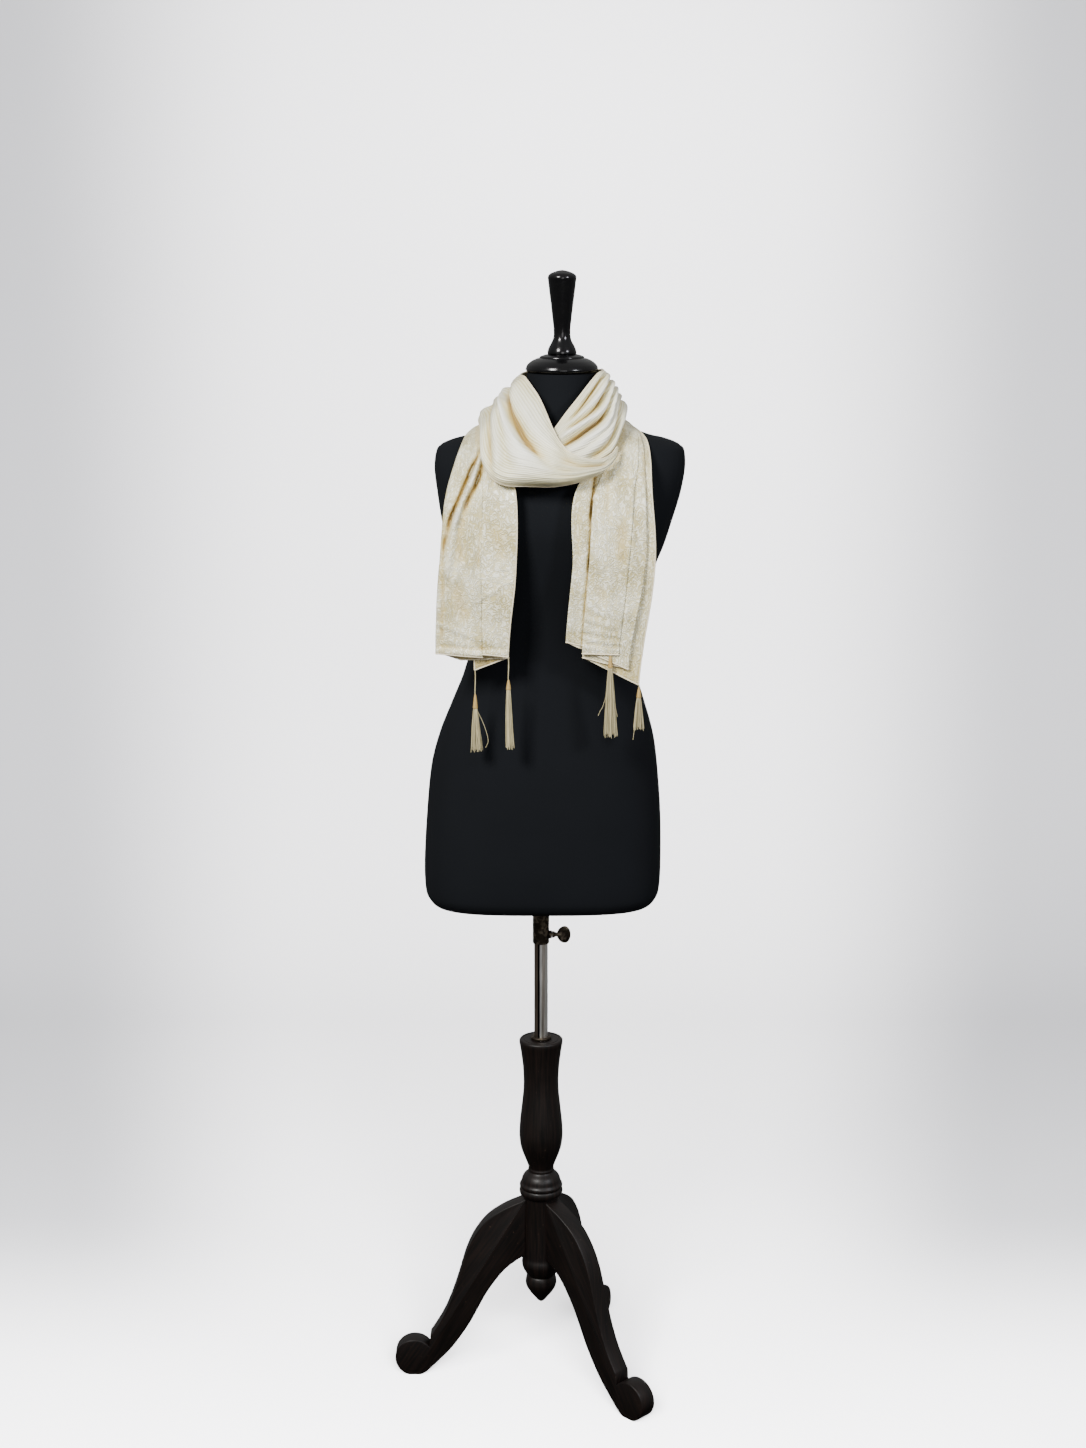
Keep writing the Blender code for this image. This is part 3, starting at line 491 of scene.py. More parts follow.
def silk_material(name, look):
    """Silk satin: a soft broad sheen from long floating threads, and painted light and shade in its colour:
    painted gold shade in hollows, on hidden layers and just below the wrap, painted white highlights on
    crests, and a ground whose blotches are partly its own uneven tone, partly painted sheen. The ends have a
    crinkled, worm-like figure and the neck wrap fine ribs along the cloth, their raised grains painted
    near-white as glints, grain by grain. Both are drawn 3 to 5 mm apart, a little coarser than real, so that
    they show in the picture."""
    dark, light, faint, strong, gloss = SILK_LOOKS[look]
    material, tree = new_material(name)
    uv = add(tree, "UVMap", "UV", uv_map="cloth")
    # the cloth's painted light and shade: above 0 painted gold shade, below 0 painted white highlight
    painted_shade_and_highlight = add(tree, "Attribute", "Fac", attribute_name="painted_shade_and_highlight")
    # blotches of darker and lighter ground: partly the cloth's own uneven tone, partly painted sheen over
    # its buckles
    watermark_and_painted_sheen = add(tree, "TexNoise", "Fac", {"Vector": uv, "Scale": 26.0, "Detail": 2.0})
    patches = add(tree, "MapRange", "Result", {"Value": watermark_and_painted_sheen, "From Min": 0.36, "From Max": 0.64})
    if look == "ribbed":
        turned_uv = add(tree, "Mapping", "Vector", {"Vector": uv, "Rotation": (0, 0, RIB_TURN)})
        ribs = add(tree, "TexWave", "Fac", {
            "Vector": turned_uv, "Scale": 66.0, "Distortion": 1.0, "Detail": 2.0, "Detail Scale": 1.5},
            wave_type="BANDS", bands_direction="Y")
        grain = add(tree, "TexNoise", "Fac", {"Vector": uv, "Scale": 420.0, "Detail": 1.0})
        figure = add(tree, "Mix", 0, {0: 0.3, 2: ribs, 3: grain}, data_type="FLOAT")
    else:
        worms = add(tree, "TexNoise", "Fac", {
            "Vector": uv, "Scale": 150.0, "Detail": 1.5, "Roughness": 0.5, "Distortion": 0.8})
        turns = add(tree, "Math", "Value", {0: worms, 1: 34.0}, operation="MULTIPLY")
        waves = add(tree, "Math", "Value", {0: turns}, operation="SINE")
        figure = add(tree, "MapRange", "Result", {"Value": waves, "From Min": -0.6, "From Max": 1.0})
    strength = add(tree, "MapRange", "Result", {"Value": patches, "To Min": faint, "To Max": strong})
    raised = add(tree, "Math", "Value", {0: figure, 1: strength}, operation="MULTIPLY")
    ground = add(tree, "Mix", 2, {0: patches, 6: dark, 7: light}, data_type="RGBA")
    # painted glints: the raised grains and ribs of the figure mixed towards near-white
    figure_with_painted_glints = add(tree, "Mix", 2, {0: raised, 6: ground, 7: "#fffeec"}, data_type="RGBA")
    # painted highlight: the cloth mixed towards white on crests and ridges
    ridge = add(tree, "MapRange", "Result", {
        "Value": painted_shade_and_highlight, "From Min": -0.15, "From Max": -1.0, "To Max": 0.85})
    painted_crest_highlight = add(tree, "Mix", 2, {0: ridge, 6: figure_with_painted_glints, 7: "#fffef2"}, data_type="RGBA")
    # painted shade: the cloth mixed towards gold and brown in hollows, on hidden layers and below the wrap
    hollow = add(tree, "MapRange", "Result", {"Value": painted_shade_and_highlight})
    painted_shading = add(tree, "ValToRGB", "Color", {"Fac": hollow})
    stops = painted_shading.node.color_ramp.elements
    stops[0].color = linear("#e3d188")
    stops[1].color = linear("#92742e")
    stops.new(0.5).color = linear("#d0b564")
    colour = add(tree, "Mix", 2, {0: hollow, 6: painted_crest_highlight, 7: painted_shading}, data_type="RGBA")
    rough = add(tree, "MapRange", "Result", {"Value": figure, "To Min": 0.5, "To Max": gloss})
    bump = add(tree, "Bump", "Normal", {"Height": figure, "Strength": 0.95, "Distance": 0.0007})
    return dress(
        material, Base_Color=colour, Roughness=rough, Normal=bump, Specular_IOR_Level=0.6,
        Sheen_Weight=0.35, Sheen_Roughness=0.35, Sheen_Tint="#fffaf0")


def thread_material(name, light, dark, roughness):
    """Twisted silk thread: soft painted streaks of light and shade along each strand."""
    material, tree = new_material(name)
    where = add(tree, "TexCoord", "Object")
    stretched = add(tree, "Mapping", "Vector", {"Vector": where, "Scale": (900.0, 900.0, 60.0)})
    streaks = add(tree, "TexNoise", "Fac", {"Vector": stretched, "Scale": 1.0, "Detail": 2.0})
    # painted light and shade: each strand lighter and darker in turn along its length
    colour = add(tree, "Mix", 2, {0: streaks, 6: dark, 7: light}, data_type="RGBA")
    bump = add(tree, "Bump", "Normal", {"Height": streaks, "Strength": 0.3, "Distance": 0.0002})
    return dress(
        material, Base_Color=colour, Roughness=roughness, Normal=bump, Sheen_Weight=0.3,
        Sheen_Roughness=0.4)


def jersey_material():
    """Black stretch jersey: quite matt, with knit loops about 1 mm apart and faint cloudy wear."""
    material, tree = new_material("black_jersey_knit")
    where = add(tree, "TexCoord", "Object")
    loops = add(tree, "Mapping", "Vector", {"Vector": where, "Scale": (900.0, 900.0, 1200.0)})
    knit = add(tree, "TexNoise", "Fac", {"Vector": loops, "Scale": 1.0, "Detail": 1.0})
    cloud = add(tree, "TexNoise", "Fac", {"Vector": where, "Scale": 9.0, "Detail": 2.0})
    colour = add(tree, "Mix", 2, {0: cloud, 6: "#0c0e11", 7: "#111317"}, data_type="RGBA")
    bump = add(tree, "Bump", "Normal", {"Height": knit, "Strength": 0.35, "Distance": 0.0005})
    return dress(material, Base_Color=colour, Roughness=0.9, Specular_IOR_Level=0.12, Normal=bump)


def lacquer_material():
    """Black lacquer on turned wood: a deep gloss with dust and hair-fine rubbing."""
    material, tree = new_material("black_lacquer_gloss")
    where = add(tree, "TexCoord", "Object")
    dust = add(tree, "TexNoise", "Fac", {"Vector": where, "Scale": 260.0, "Detail": 4.0})
    rough = add(tree, "MapRange", "Result", {
        "Value": dust, "From Min": 0.35, "From Max": 0.75, "To Min": 0.14, "To Max": 0.26})
    return dress(material, Base_Color="#050506", Specular_IOR_Level=0.35, Roughness=rough)


def wood_material():
    """Dark-stained hardwood under satin varnish: brown streaks that follow the grain, small rubs."""
    material, tree = new_material("stained_hardwood")
    uv = add(tree, "UVMap", "UV", uv_map="grain")
    along_grain = add(tree, "Mapping", "Vector", {"Vector": uv, "Scale": (320.0, 14.0, 1.0)})
    grain = add(tree, "TexNoise", "Fac", {
        "Vector": along_grain, "Scale": 1.0, "Detail": 4.0, "Roughness": 0.6})
    cloud = add(tree, "TexNoise", "Fac", {"Vector": uv, "Scale": 14.0, "Detail": 2.0})
    rubs = add(tree, "TexNoise", "Fac", {"Vector": uv, "Scale": 260.0, "Detail": 3.0})
    streak = add(tree, "MapRange", "Result", {"Value": grain, "From Min": 0.4, "From Max": 0.75})
    worn = add(tree, "MapRange", "Result", {"Value": rubs, "From Min": 0.70, "From Max": 0.78})
    dark = add(tree, "Mix", 2, {0: cloud, 6: "#040303", 7: "#0a0706"}, data_type="RGBA")
    streaked = add(tree, "Mix", 2, {0: streak, 6: dark, 7: "#1c120e"}, data_type="RGBA")
    colour = add(tree, "Mix", 2, {0: worn, 6: streaked, 7: "#4a3a30"}, data_type="RGBA")
    rough = add(tree, "MapRange", "Result", {"Value": grain, "To Min": 0.34, "To Max": 0.52})
    bump = add(tree, "Bump", "Normal", {"Height": grain, "Strength": 0.15, "Distance": 0.0004})
    return dress(material, Base_Color=colour, Roughness=rough, Normal=bump, Specular_IOR_Level=0.3)


def chrome_material():
    """Old chrome plate on a steel tube, with painted reflections: bright and dark bands up the tube, and a
    thin black line up it, the painted reflection of a dark thing, with the side beyond it painted browner."""
    material, tree = new_material("chrome_with_painted_reflections")
    uv = add(tree, "UVMap", "UV", uv_map="grain")
    drawn_out = add(tree, "Mapping", "Vector", {"Vector": uv, "Scale": (70.0, 1.2, 1.0)})
    bands = add(tree, "TexNoise", "Fac", {"Vector": drawn_out, "Scale": 1.0, "Detail": 2.0})
    smeared = add(tree, "Mapping", "Vector", {"Vector": uv, "Scale": (300.0, 30.0, 1.0)})
    smears = add(tree, "TexNoise", "Fac", {"Vector": smeared, "Scale": 1.0, "Detail": 3.0})
    # painted reflections: bright and dark bands up the tube
    painted_reflection_bands = add(tree, "ValToRGB", "Color", {"Fac": bands})
    stops = painted_reflection_bands.node.color_ramp.elements
    stops[0].position = 0.3
    stops[0].color = linear("#50463b")
    stops[1].position = 0.52
    stops[1].color = linear("#fffefa")
    stops.new(0.4).color = linear("#cfc7ba")
    # painted reflection: a thin black line up the tube, and the side beyond it painted browner
    turn = add(tree, "SeparateXYZ", "X", {"Vector": uv})
    from_painted_line = add(tree, "Math", "Value", {0: turn, 1: DARK_LINE_TURN}, operation="SUBTRACT")
    beyond = add(tree, "MapRange", "Result", {"Value": from_painted_line, "From Min": 0.002, "From Max": -0.002})
    painted_browner_side = add(tree, "Mix", 2, {0: beyond, 6: painted_reflection_bands, 7: "#85796c"}, data_type="RGBA")
    distance = add(tree, "Math", "Value", {0: from_painted_line}, operation="ABSOLUTE")
    painted_dark_line = add(tree, "MapRange", "Result", {"Value": distance, "From Min": 0.006, "From Max": 0.0035})
    colour = add(tree, "Mix", 2, {0: painted_dark_line, 6: painted_browner_side, 7: "#060504"}, data_type="RGBA")
    rough = add(tree, "MapRange", "Result", {
        "Value": smears, "From Min": 0.4, "From Max": 0.75, "To Min": 0.32, "To Max": 0.5})
    return dress(material, Base_Color=colour, Metallic=1.0, Roughness=rough)


def blackened_material():
    """Blackened steel: dark and satin, rubbed to brown metal in patches."""
    material, tree = new_material("blackened_steel")
    where = add(tree, "TexCoord", "Object")
    wear = add(tree, "TexNoise", "Fac", {
        "Vector": where, "Scale": 120.0, "Detail": 5.0, "Distortion": 0.5})
    rubbed = add(tree, "MapRange", "Result", {"Value": wear, "From Min": 0.5, "From Max": 0.72})
    colour = add(tree, "Mix", 2, {0: rubbed, 6: "#342d25", 7: "#8d8270"}, data_type="RGBA")
    rough = add(tree, "MapRange", "Result", {"Value": wear, "To Min": 0.55, "To Max": 0.32})
    bump = add(tree, "Bump", "Normal", {"Height": wear, "Strength": 0.2, "Distance": 0.0004})
    return dress(material, Base_Color=colour, Metallic=0.85, Roughness=rough, Normal=bump)


def hang(name, mesh, body, stands_for=()):
    """Put a mesh in the scene as a piece that rides on a body."""
    piece = bpy.data.objects.new(name, mesh)
    bpy.context.scene.collection.objects.link(piece)
    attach(piece, body)
    if stands_for:
        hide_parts(*stands_for)
    return piece


def finish_piece(name, bm, material, body, stands_for=(), sharp=35):
    """Turn a bmesh in millimetres into a piece that rides on a body."""
    bmesh.ops.scale(bm, vec=(MM, MM, MM), verts=bm.verts)
    bmesh.ops.translate(bm, vec=AXIS, verts=bm.verts)
    mesh = bpy.data.meshes.new(name)
    bm.to_mesh(mesh)
    bm.free()
    mesh.materials.append(material)
    mesh.shade_smooth()
    mesh.set_sharp_from_angle(angle=math.radians(sharp))
    return hang(name, mesh, body, stands_for)


def along(rows, spot):
    """A smooth curve through the rows of a table, read at a spot counted in rows."""
    last = len(rows) - 1
    spot = clamp(spot, 0.0, float(last))
    index = min(int(spot), last - 1)
    t = spot - index
    before = rows[max(index - 1, 0)]
    after = rows[min(index + 2, last)]
    result = []
    for p0, p1, p2, p3 in zip(before, rows[index], rows[index + 1], after):
        slope_in = (p2 - p0) / 2
        slope_out = (p3 - p1) / 2
        a = 2 * p1 - 2 * p2 + slope_in + slope_out
        b = -3 * p1 + 3 * p2 - 2 * slope_in - slope_out
        result.append(((a * t + b) * t + slope_in) * t + p1)
    return result


def smoothed(rows, steps):
    """The rows of a table with the curve through them, at so many steps from row to row."""
    return [along(rows, step / steps) for step in range(steps * (len(rows) - 1) + 1)]


def rounded(outline, reach, steps=4, closed=False):
    """Round an outline's corners: each becomes a short curve that starts at most reach away from it."""
    count = len(outline)
    result = []
    for index, spot in enumerate(outline):
        corner = Vector(spot)
        if not closed and index in (0, count - 1):
            result.append(corner)
            continue
        back = Vector(outline[index - 1]) - corner
        ahead = Vector(outline[(index + 1) % count]) - corner
        cut = min(0.45 * back.length, 0.45 * ahead.length, reach)
        start = corner + back.normalized() * cut
        end = corner + ahead.normalized() * cut
        for step in range(steps + 1):
            t = step / steps
            result.append(start * (1 - t) ** 2 + corner * (2 * t * (1 - t)) + end * t ** 2)
    return result


def grid(columns, rows, spot):
    """A grid of columns by rows with its vertices where spot(column, row) puts them."""
    bm = bmesh.new()
    bmesh.ops.create_grid(bm, x_segments=columns, y_segments=rows, size=1.0)
    places = []
    for vert in bm.verts:
        places.append((round((vert.co.x + 1) / 2 * columns), round((vert.co.y + 1) / 2 * rows)))
        vert.co = spot(*places[-1])
    bm.verts.index_update()
    return bm, places


def close_up(bm):
    """Join the vertices that meet and turn every face outwards."""
    bmesh.ops.remove_doubles(bm, verts=bm.verts, dist=0.002)
    bmesh.ops.recalc_face_normals(bm, faces=bm.faces)


def spun(spots, centre, axis, sides, ring=False):
    """A line of points, or a ring of them, turned once round an axis."""
    bm = bmesh.new()
    verts = [bm.verts.new(spot) for spot in spots]
    edges = [bm.edges.new(pair) for pair in zip(verts, verts[1:])]
    if ring:
        edges.append(bm.edges.new((verts[-1], verts[0])))
    bmesh.ops.spin(bm, geom=verts + edges, cent=centre, axis=axis, dvec=(0, 0, 0), angle=math.tau,
                   steps=sides, use_merge=True, use_duplicate=False)
    close_up(bm)
    return bm


def turned(name, profile, material, body, axis_x=0.0, reach=8.0, ring=False):
    """A piece turned round an upright axis, with its grain running up it."""
    spots = [(axis_x + spot.x, 0, spot.y) for spot in rounded(profile, reach, closed=ring)]
    bm = spun(spots, (axis_x, 0, 0), (0, 0, 1), ROUND_SIDES, ring)
    grain = bm.loops.layers.uv.new("grain")
    for face in bm.faces:
        middle = face.calc_center_median()
        facing = math.atan2(middle.y, middle.x - axis_x)
        for loop in face.loops:
            angle = math.atan2(loop.vert.co.y, loop.vert.co.x - axis_x)
            turn = (angle - facing + math.pi) % math.tau - math.pi
            loop[grain].uv = ((facing + turn) * GRAIN_RADIUS, loop.vert.co.z * MM)
    return finish_piece(name + "_turned", bm, material, body, [name])


def side_turned(profile, ring=False):
    """A shape turned round the thumbscrew's axis, from radius and reach."""
    spots = [(spot.y, 0, SCREW_HEIGHT + spot.x) for spot in rounded(profile, 1.0, closed=ring)]
    return spun(spots, (0, 0, SCREW_HEIGHT), (1, 0, 0), SCREW_SIDES, ring)


def form_point(column, row):
    """The form's skin. The first rows line the hole for the pole and close the underside."""
    angle = math.tau * (column % FORM_COLUMNS) / FORM_COLUMNS
    if row <= 2:
        radius = FORM_BORE_RADIUS if row > 0 else 0.0
        height = FORM_SECTIONS[0][0] if row == 2 else FORM_BORE_TOP
        return Vector((radius * math.cos(angle), radius * math.sin(angle), height))
    spot = (row - 3) / (FORM_ROWS - 4) * (len(FORM_SECTIONS) - 1)
    height, middle, half_width, front, back, squareness = along(FORM_SECTIONS, spot)
    if row == FORM_ROWS:
        return Vector((middle, 0, height))
    across = math.copysign(abs(math.cos(angle)) ** (2 / squareness), math.cos(angle))
    deep = math.copysign(abs(math.sin(angle)) ** (2 / squareness), math.sin(angle))
    return Vector((middle + half_width * across, (back if deep > 0 else front) * deep, height))


def make_form(material):
    """The form, and its skin for the cloth to rest on."""
    bm, _ = grid(FORM_COLUMNS, FORM_ROWS, form_point)
    close_up(bm)
    skin = BVHTree.FromBMesh(bm)
    finish_piece("form_cover", bm, material, "form", ["torso"])
    return skin


def leg_outline():
    """The board's edge: the curved top, the round scroll with a flat sole, and the underside."""
    centre_x, centre_z = SCROLL_CENTRE
    start, end = SCROLL_ANGLES
    scroll = []
    for step in range(SCROLL_STEPS + 1):
        angle = math.radians(start + (end - start) * step / SCROLL_STEPS)
        height = centre_z + SCROLL_RADIUS * math.sin(angle)
        scroll.append((centre_x + SCROLL_RADIUS * math.cos(angle), max(height, 0.0)))
    return smoothed(LEG_TOP_EDGE, 4) + scroll + smoothed(LEG_BOTTOM_EDGE, 4)


def make_leg(name, direction, material):
    """A board sawn to its outline, with its edges eased."""
    bm = bmesh.new()
    half = LEG_THICKNESS / 2
    face = bm.faces.new([bm.verts.new((x, -half, z)) for x, z in leg_outline()])
    extruded = bmesh.ops.extrude_face_region(bm, geom=[face], use_keep_orig=True)
    moved = [item for item in extruded["geom"] if isinstance(item, bmesh.types.BMVert)]
    bmesh.ops.translate(bm, vec=(0, LEG_THICKNESS, 0), verts=moved)
    bmesh.ops.recalc_face_normals(bm, faces=bm.faces)
    rims = [edge for edge in bm.edges if abs(edge.verts[0].co.y - edge.verts[1].co.y) < 0.01]
    bmesh.ops.bevel(bm, geom=rims, offset=1.3, segments=3, affect="EDGES", profile=0.5, material=-1)
    grain = bm.loops.layers.uv.new("grain")
    for part in bm.faces:
        for loop in part.loops:
            flat = Vector((loop.vert.co.x, loop.vert.co.z))
            side = flat.x * LEG_GRAIN.y - flat.y * LEG_GRAIN.x
            loop[grain].uv = ((side + loop.vert.co.y) * MM, flat.dot(LEG_GRAIN) * MM)
    turn = Matrix.Rotation(math.radians(direction), 3, "Z")
    bmesh.ops.rotate(bm, cent=(0, 0, 0), verts=bm.verts, matrix=turn)
    finish_piece(name + "_board", bm, material, "stand", [name], sharp=50)


def make_clamp(material):
    """The collar with its boss, and the thumbscrew with its rounded, dished paddle."""
    turned("clamp_collar", COLLAR_PROFILE, material, "form", reach=0.6, ring=True)
    boss = side_turned(BOSS_PROFILE, ring=True)
    finish_piece("collar_boss", boss, material, "form")
    shank = side_turned(SHANK_PROFILE)
    finish_piece("screw_shank", shank, material, "screw", ["thumbscrew"])
    paddle = bmesh.new()
    bmesh.ops.create_uvsphere(paddle, u_segments=40, v_segments=28, radius=1.0)
    centre, half_length, half_thickness, half_height = PADDLE
    for vert in paddle.verts:
        out, side, up = vert.co
        waist = 1.0 + 0.12 * out
        dish = 1.0 - 0.35 * math.exp(-((out ** 2 + up ** 2) / 0.35))
        vert.co = Vector((centre + half_length * out, half_thickness * side * dish,
                          SCREW_HEIGHT + half_height * waist * up))
    finish_piece("screw_paddle", paddle, material, "screw")


def blurred(values, spread, axis):
    """Values smoothed along one axis of a table."""
    reach = math.ceil(3 * spread)
    weights = np.exp(-0.5 * (np.arange(-reach, reach + 1) / spread) ** 2)
    weights /= weights.sum()
    widths = [(reach, reach) if axis == side else (0, 0) for side in (0, 1)]
    padded = np.pad(values, widths, mode="edge")
    return np.apply_along_axis(lambda line: np.convolve(line, weights, "valid"), axis, padded)


def rise_between(across, shares, heights):
    """Heights between lines of relief: sharp at the bottom of a hollow and round over a ridge."""
    index = np.clip(np.searchsorted(shares, across, side="right") - 1, 0, len(shares) - 2)
    shares, heights = np.array(shares), np.array(heights)
    width = np.maximum(shares[index + 1] - shares[index], 1e-6)
    t = (across - shares[index]) / width
    start, end = heights[index], heights[index + 1]
    climb = np.where(end > start, np.sin(t * math.pi / 2), 1 - np.sin((1 - t) * math.pi / 2))
    return start + (end - start) * climb


def wrap_spot(column):
    """The place of a column of the wrap's grid, counted in rows of its table."""
    return column / WRAP_COLUMNS * (len(WRAP_SECTIONS) - 1)


def wrap_relief():
    """The wrap's relief, with its fine pleats, for every column and row of its grid."""
    across = np.linspace(0, 1, WRAP_ROWS + 1)
    lines = [np.array(smoothed(spots, 8)).T for spots in WRAP_LINES.values()]
    relief = np.zeros((WRAP_COLUMNS + 1, WRAP_ROWS + 1))
    for column in range(WRAP_COLUMNS + 1):
        spot = wrap_spot(column)
        whole, fading = [(0.0, EDGE_HEIGHT), (1.0, 0.0)], []
        for rows, shares, heights in lines:
            inside = min(spot - rows[0], rows[-1] - spot) / LINE_FADE
            if inside <= 0:
                continue
            mark = (float(np.interp(spot, rows, shares)), float(np.interp(spot, rows, heights)))
            if inside >= 1:
                whole.append(mark)
            else:
                fading.append((*mark, inside))
        whole.sort()
        base = rise_between(np.array([mark[0] for mark in fading]), *zip(*whole)) if fading else []
        marks = whole + [(share, low + (height - low) * weight)
                         for (share, height, weight), low in zip(fading, base)]
        relief[column] = rise_between(across, *zip(*sorted(marks)))
    relief = blurred(blurred(relief, 0.7, 1), 3.0, 0) * RELIEF
    for column in range(WRAP_COLUMNS + 1):
        spot = wrap_spot(column)
        for row, share in enumerate(across):
            pleats = sum(noise.noise(Vector((spot * by_row, share * by_share, seed))) * height
                         for by_row, by_share, seed, height in WRAP_PLEATS)
            edge = min(share / WRAP_EDGE, (1 - share) / WRAP_EDGE, 1.0)
            relief[column][row] += pleats * edge * min(spot / 1.5, 1.0)
    return relief


def wrap_point(column, row, relief):
    """A point of the neck wrap, with its relief."""
    spot = wrap_spot(column)
    across = row / WRAP_ROWS
    section = along(WRAP_SECTIONS, spot)
    inner = Vector(section[0:3])
    outer = Vector(section[3:6])
    belly, curl = section[6:8]
    point = inner.lerp(outer, across)
    away = Vector((point.x - NECK_X, point.y, 0)).normalized()
    rise = (inner - outer).normalized()
    edge = min(across, 1 - across) / WRAP_EDGE
    height = relief[column][row]
    tuck = curl * max((across - 0.8) / 0.2, 0.0) ** 2
    bulge = belly * math.sin(math.pi * across) + height - tuck
    wander = noise.noise(Vector((spot * 1.1, 9.4, across * 2))) * 1.2
    return point + away * bulge + rise * (RIDGE_LEAN * height * min(edge, 1.0) + wander)


def cloth_piece(name, columns, rows, spot, weave, painted_shade_and_highlight, material, stands_for):
    """A thin sheet of cloth with its weave's own map, in metres of cloth, and its painted light and shade:
    above 0 in hollows and shaded places, painted gold shade, and below 0 on crests, painted white highlight."""
    bm, places = grid(columns, rows, spot)
    cloth = bm.loops.layers.uv.new("cloth")
    # layer of painted shade and highlight for the silk's colour
    painted_shading = bm.verts.layers.float.new("painted_shade_and_highlight")
    for vert in bm.verts:
        vert[painted_shading] = painted_shade_and_highlight(*places[vert.index])
    for face in bm.faces:
        for loop in face.loops:
            loop[cloth].uv = weave(*places[loop.vert.index])
    piece = finish_piece(name, bm, material, "form", stands_for, sharp=180)
    wall = piece.modifiers.new("thickness", "SOLIDIFY")
    wall.thickness = SILK * MM
    wall.offset = 0.0
    wall.use_even_offset = False
    return piece


def make_cord(name, paths, radius, material, resolution=1):
    """Round cords along paths, in millimetres, as one mesh."""
    curve = bpy.data.curves.new(name, "CURVE")
    curve.dimensions = "3D"
    curve.bevel_depth = radius * MM
    curve.bevel_resolution = resolution
    curve.use_fill_caps = True
    for path in paths:
        spline = curve.splines.new("POLY")
        spline.points.add(len(path) - 1)
        for point, spot in zip(spline.points, path):
            point.co = (*place(spot), 1.0)
    holder = bpy.data.objects.new(name + "_curve", curve)
    bpy.context.scene.collection.objects.link(holder)
    bpy.context.view_layer.update()
    mesh = bpy.data.meshes.new_from_object(holder.evaluated_get(bpy.context.evaluated_depsgraph_get()))
    bpy.data.objects.remove(holder)
    mesh.name = name
    mesh.materials.clear()
    mesh.materials.append(material)
    mesh.shade_smooth()
    return hang(name, mesh, "form")


def make_wrap(material, hem_material):
    """The neck wrap with a rolled hem along each edge."""
    relief = wrap_relief()

    def spot(column, row):
        return wrap_point(column, row, relief)

    def weave(column, row):
        return (column / WRAP_COLUMNS * WRAP_CLOTH[0] * MM, row / WRAP_ROWS * WRAP_CLOTH[1] * MM)

    # painted light and shade: gold shade where the wrap's relief is low, white highlight where it is high
    def painted_shade_and_highlight(column, row):
        return clamp((LEVEL - relief[column][row]) * PAINTED_LIGHT_AND_SHADE_PER_MM, -1.0, 0.95)

    wrap = cloth_piece("stole_wrap", WRAP_COLUMNS, WRAP_ROWS, spot, weave, painted_shade_and_highlight, material,
                       ["stole_front_band", "stole_inner_band", "stole_back"])
    for edge, row in (("upper", 0), ("lower", WRAP_ROWS)):
        path = [spot(column, row) for column in range(0, WRAP_COLUMNS + 1, 3)]
        make_cord("wrap_hem_" + edge, [path], HEM_RADIUS, hem_material)


def end_path(folds):
    """Steps across a hanging end: along each layer, then round each turn.

    Each step is a place in the fold table, a layer that may lie between two, and a push sideways."""
    path = []
    for index, (start, end) in enumerate(zip(folds, folds[1:])):
        pieces = max(round(abs(end[0] - start[0]) / END_STEP), 1)
        side = math.copysign(1, end[0] - start[0])
        for step in range(pieces + 1):
            t = step / pieces
            path.append((index + t, start[6] + (start[7] - start[6]) * t, 0.0))
        depth = abs(end[6] - start[7])
        if depth == 0 or index == len(folds) - 2:
            continue
        arcs = 4 + round(2 * depth)
        for arc in range(1, arcs):
            turn = math.pi * arc / arcs
            layer = start[7] + (end[6] - start[7]) * (1 - math.cos(turn)) / 2
            path.append((index + 1.0, layer, side * math.sin(turn) * depth / 2))
    return path


def crease_lift(x, z, layer, creases):
    """How far the creases lift the cloth at a place of a layer."""
    lift = 0.0
    for x0, z0, x1, z1, width, height, *whole_from in creases:
        if min(z0, z1) - CREASE_SKIP > z or max(z0, z1) + CREASE_SKIP < z:
            continue
        run = Vector((x1 - x0, z1 - z0))
        t = ((x - x0) * run.x + (z - z0) * run.y) / run.length_squared
        beyond = max(-t, t - 1, 0.0) * run.length
        off = abs((x - x0) * run.y - (z - z0) * run.x) / run.length
        if off < 3 * width and beyond < CREASE_REACH:
            share = min(layer / whole_from[0], 1.0) if whole_from else max(1.0 - 0.3 * layer, 0.0)
            lift += height * share * math.exp(-(off / width) ** 2) * math.exp(-(beyond / CREASE_FADE) ** 2)
    return lift


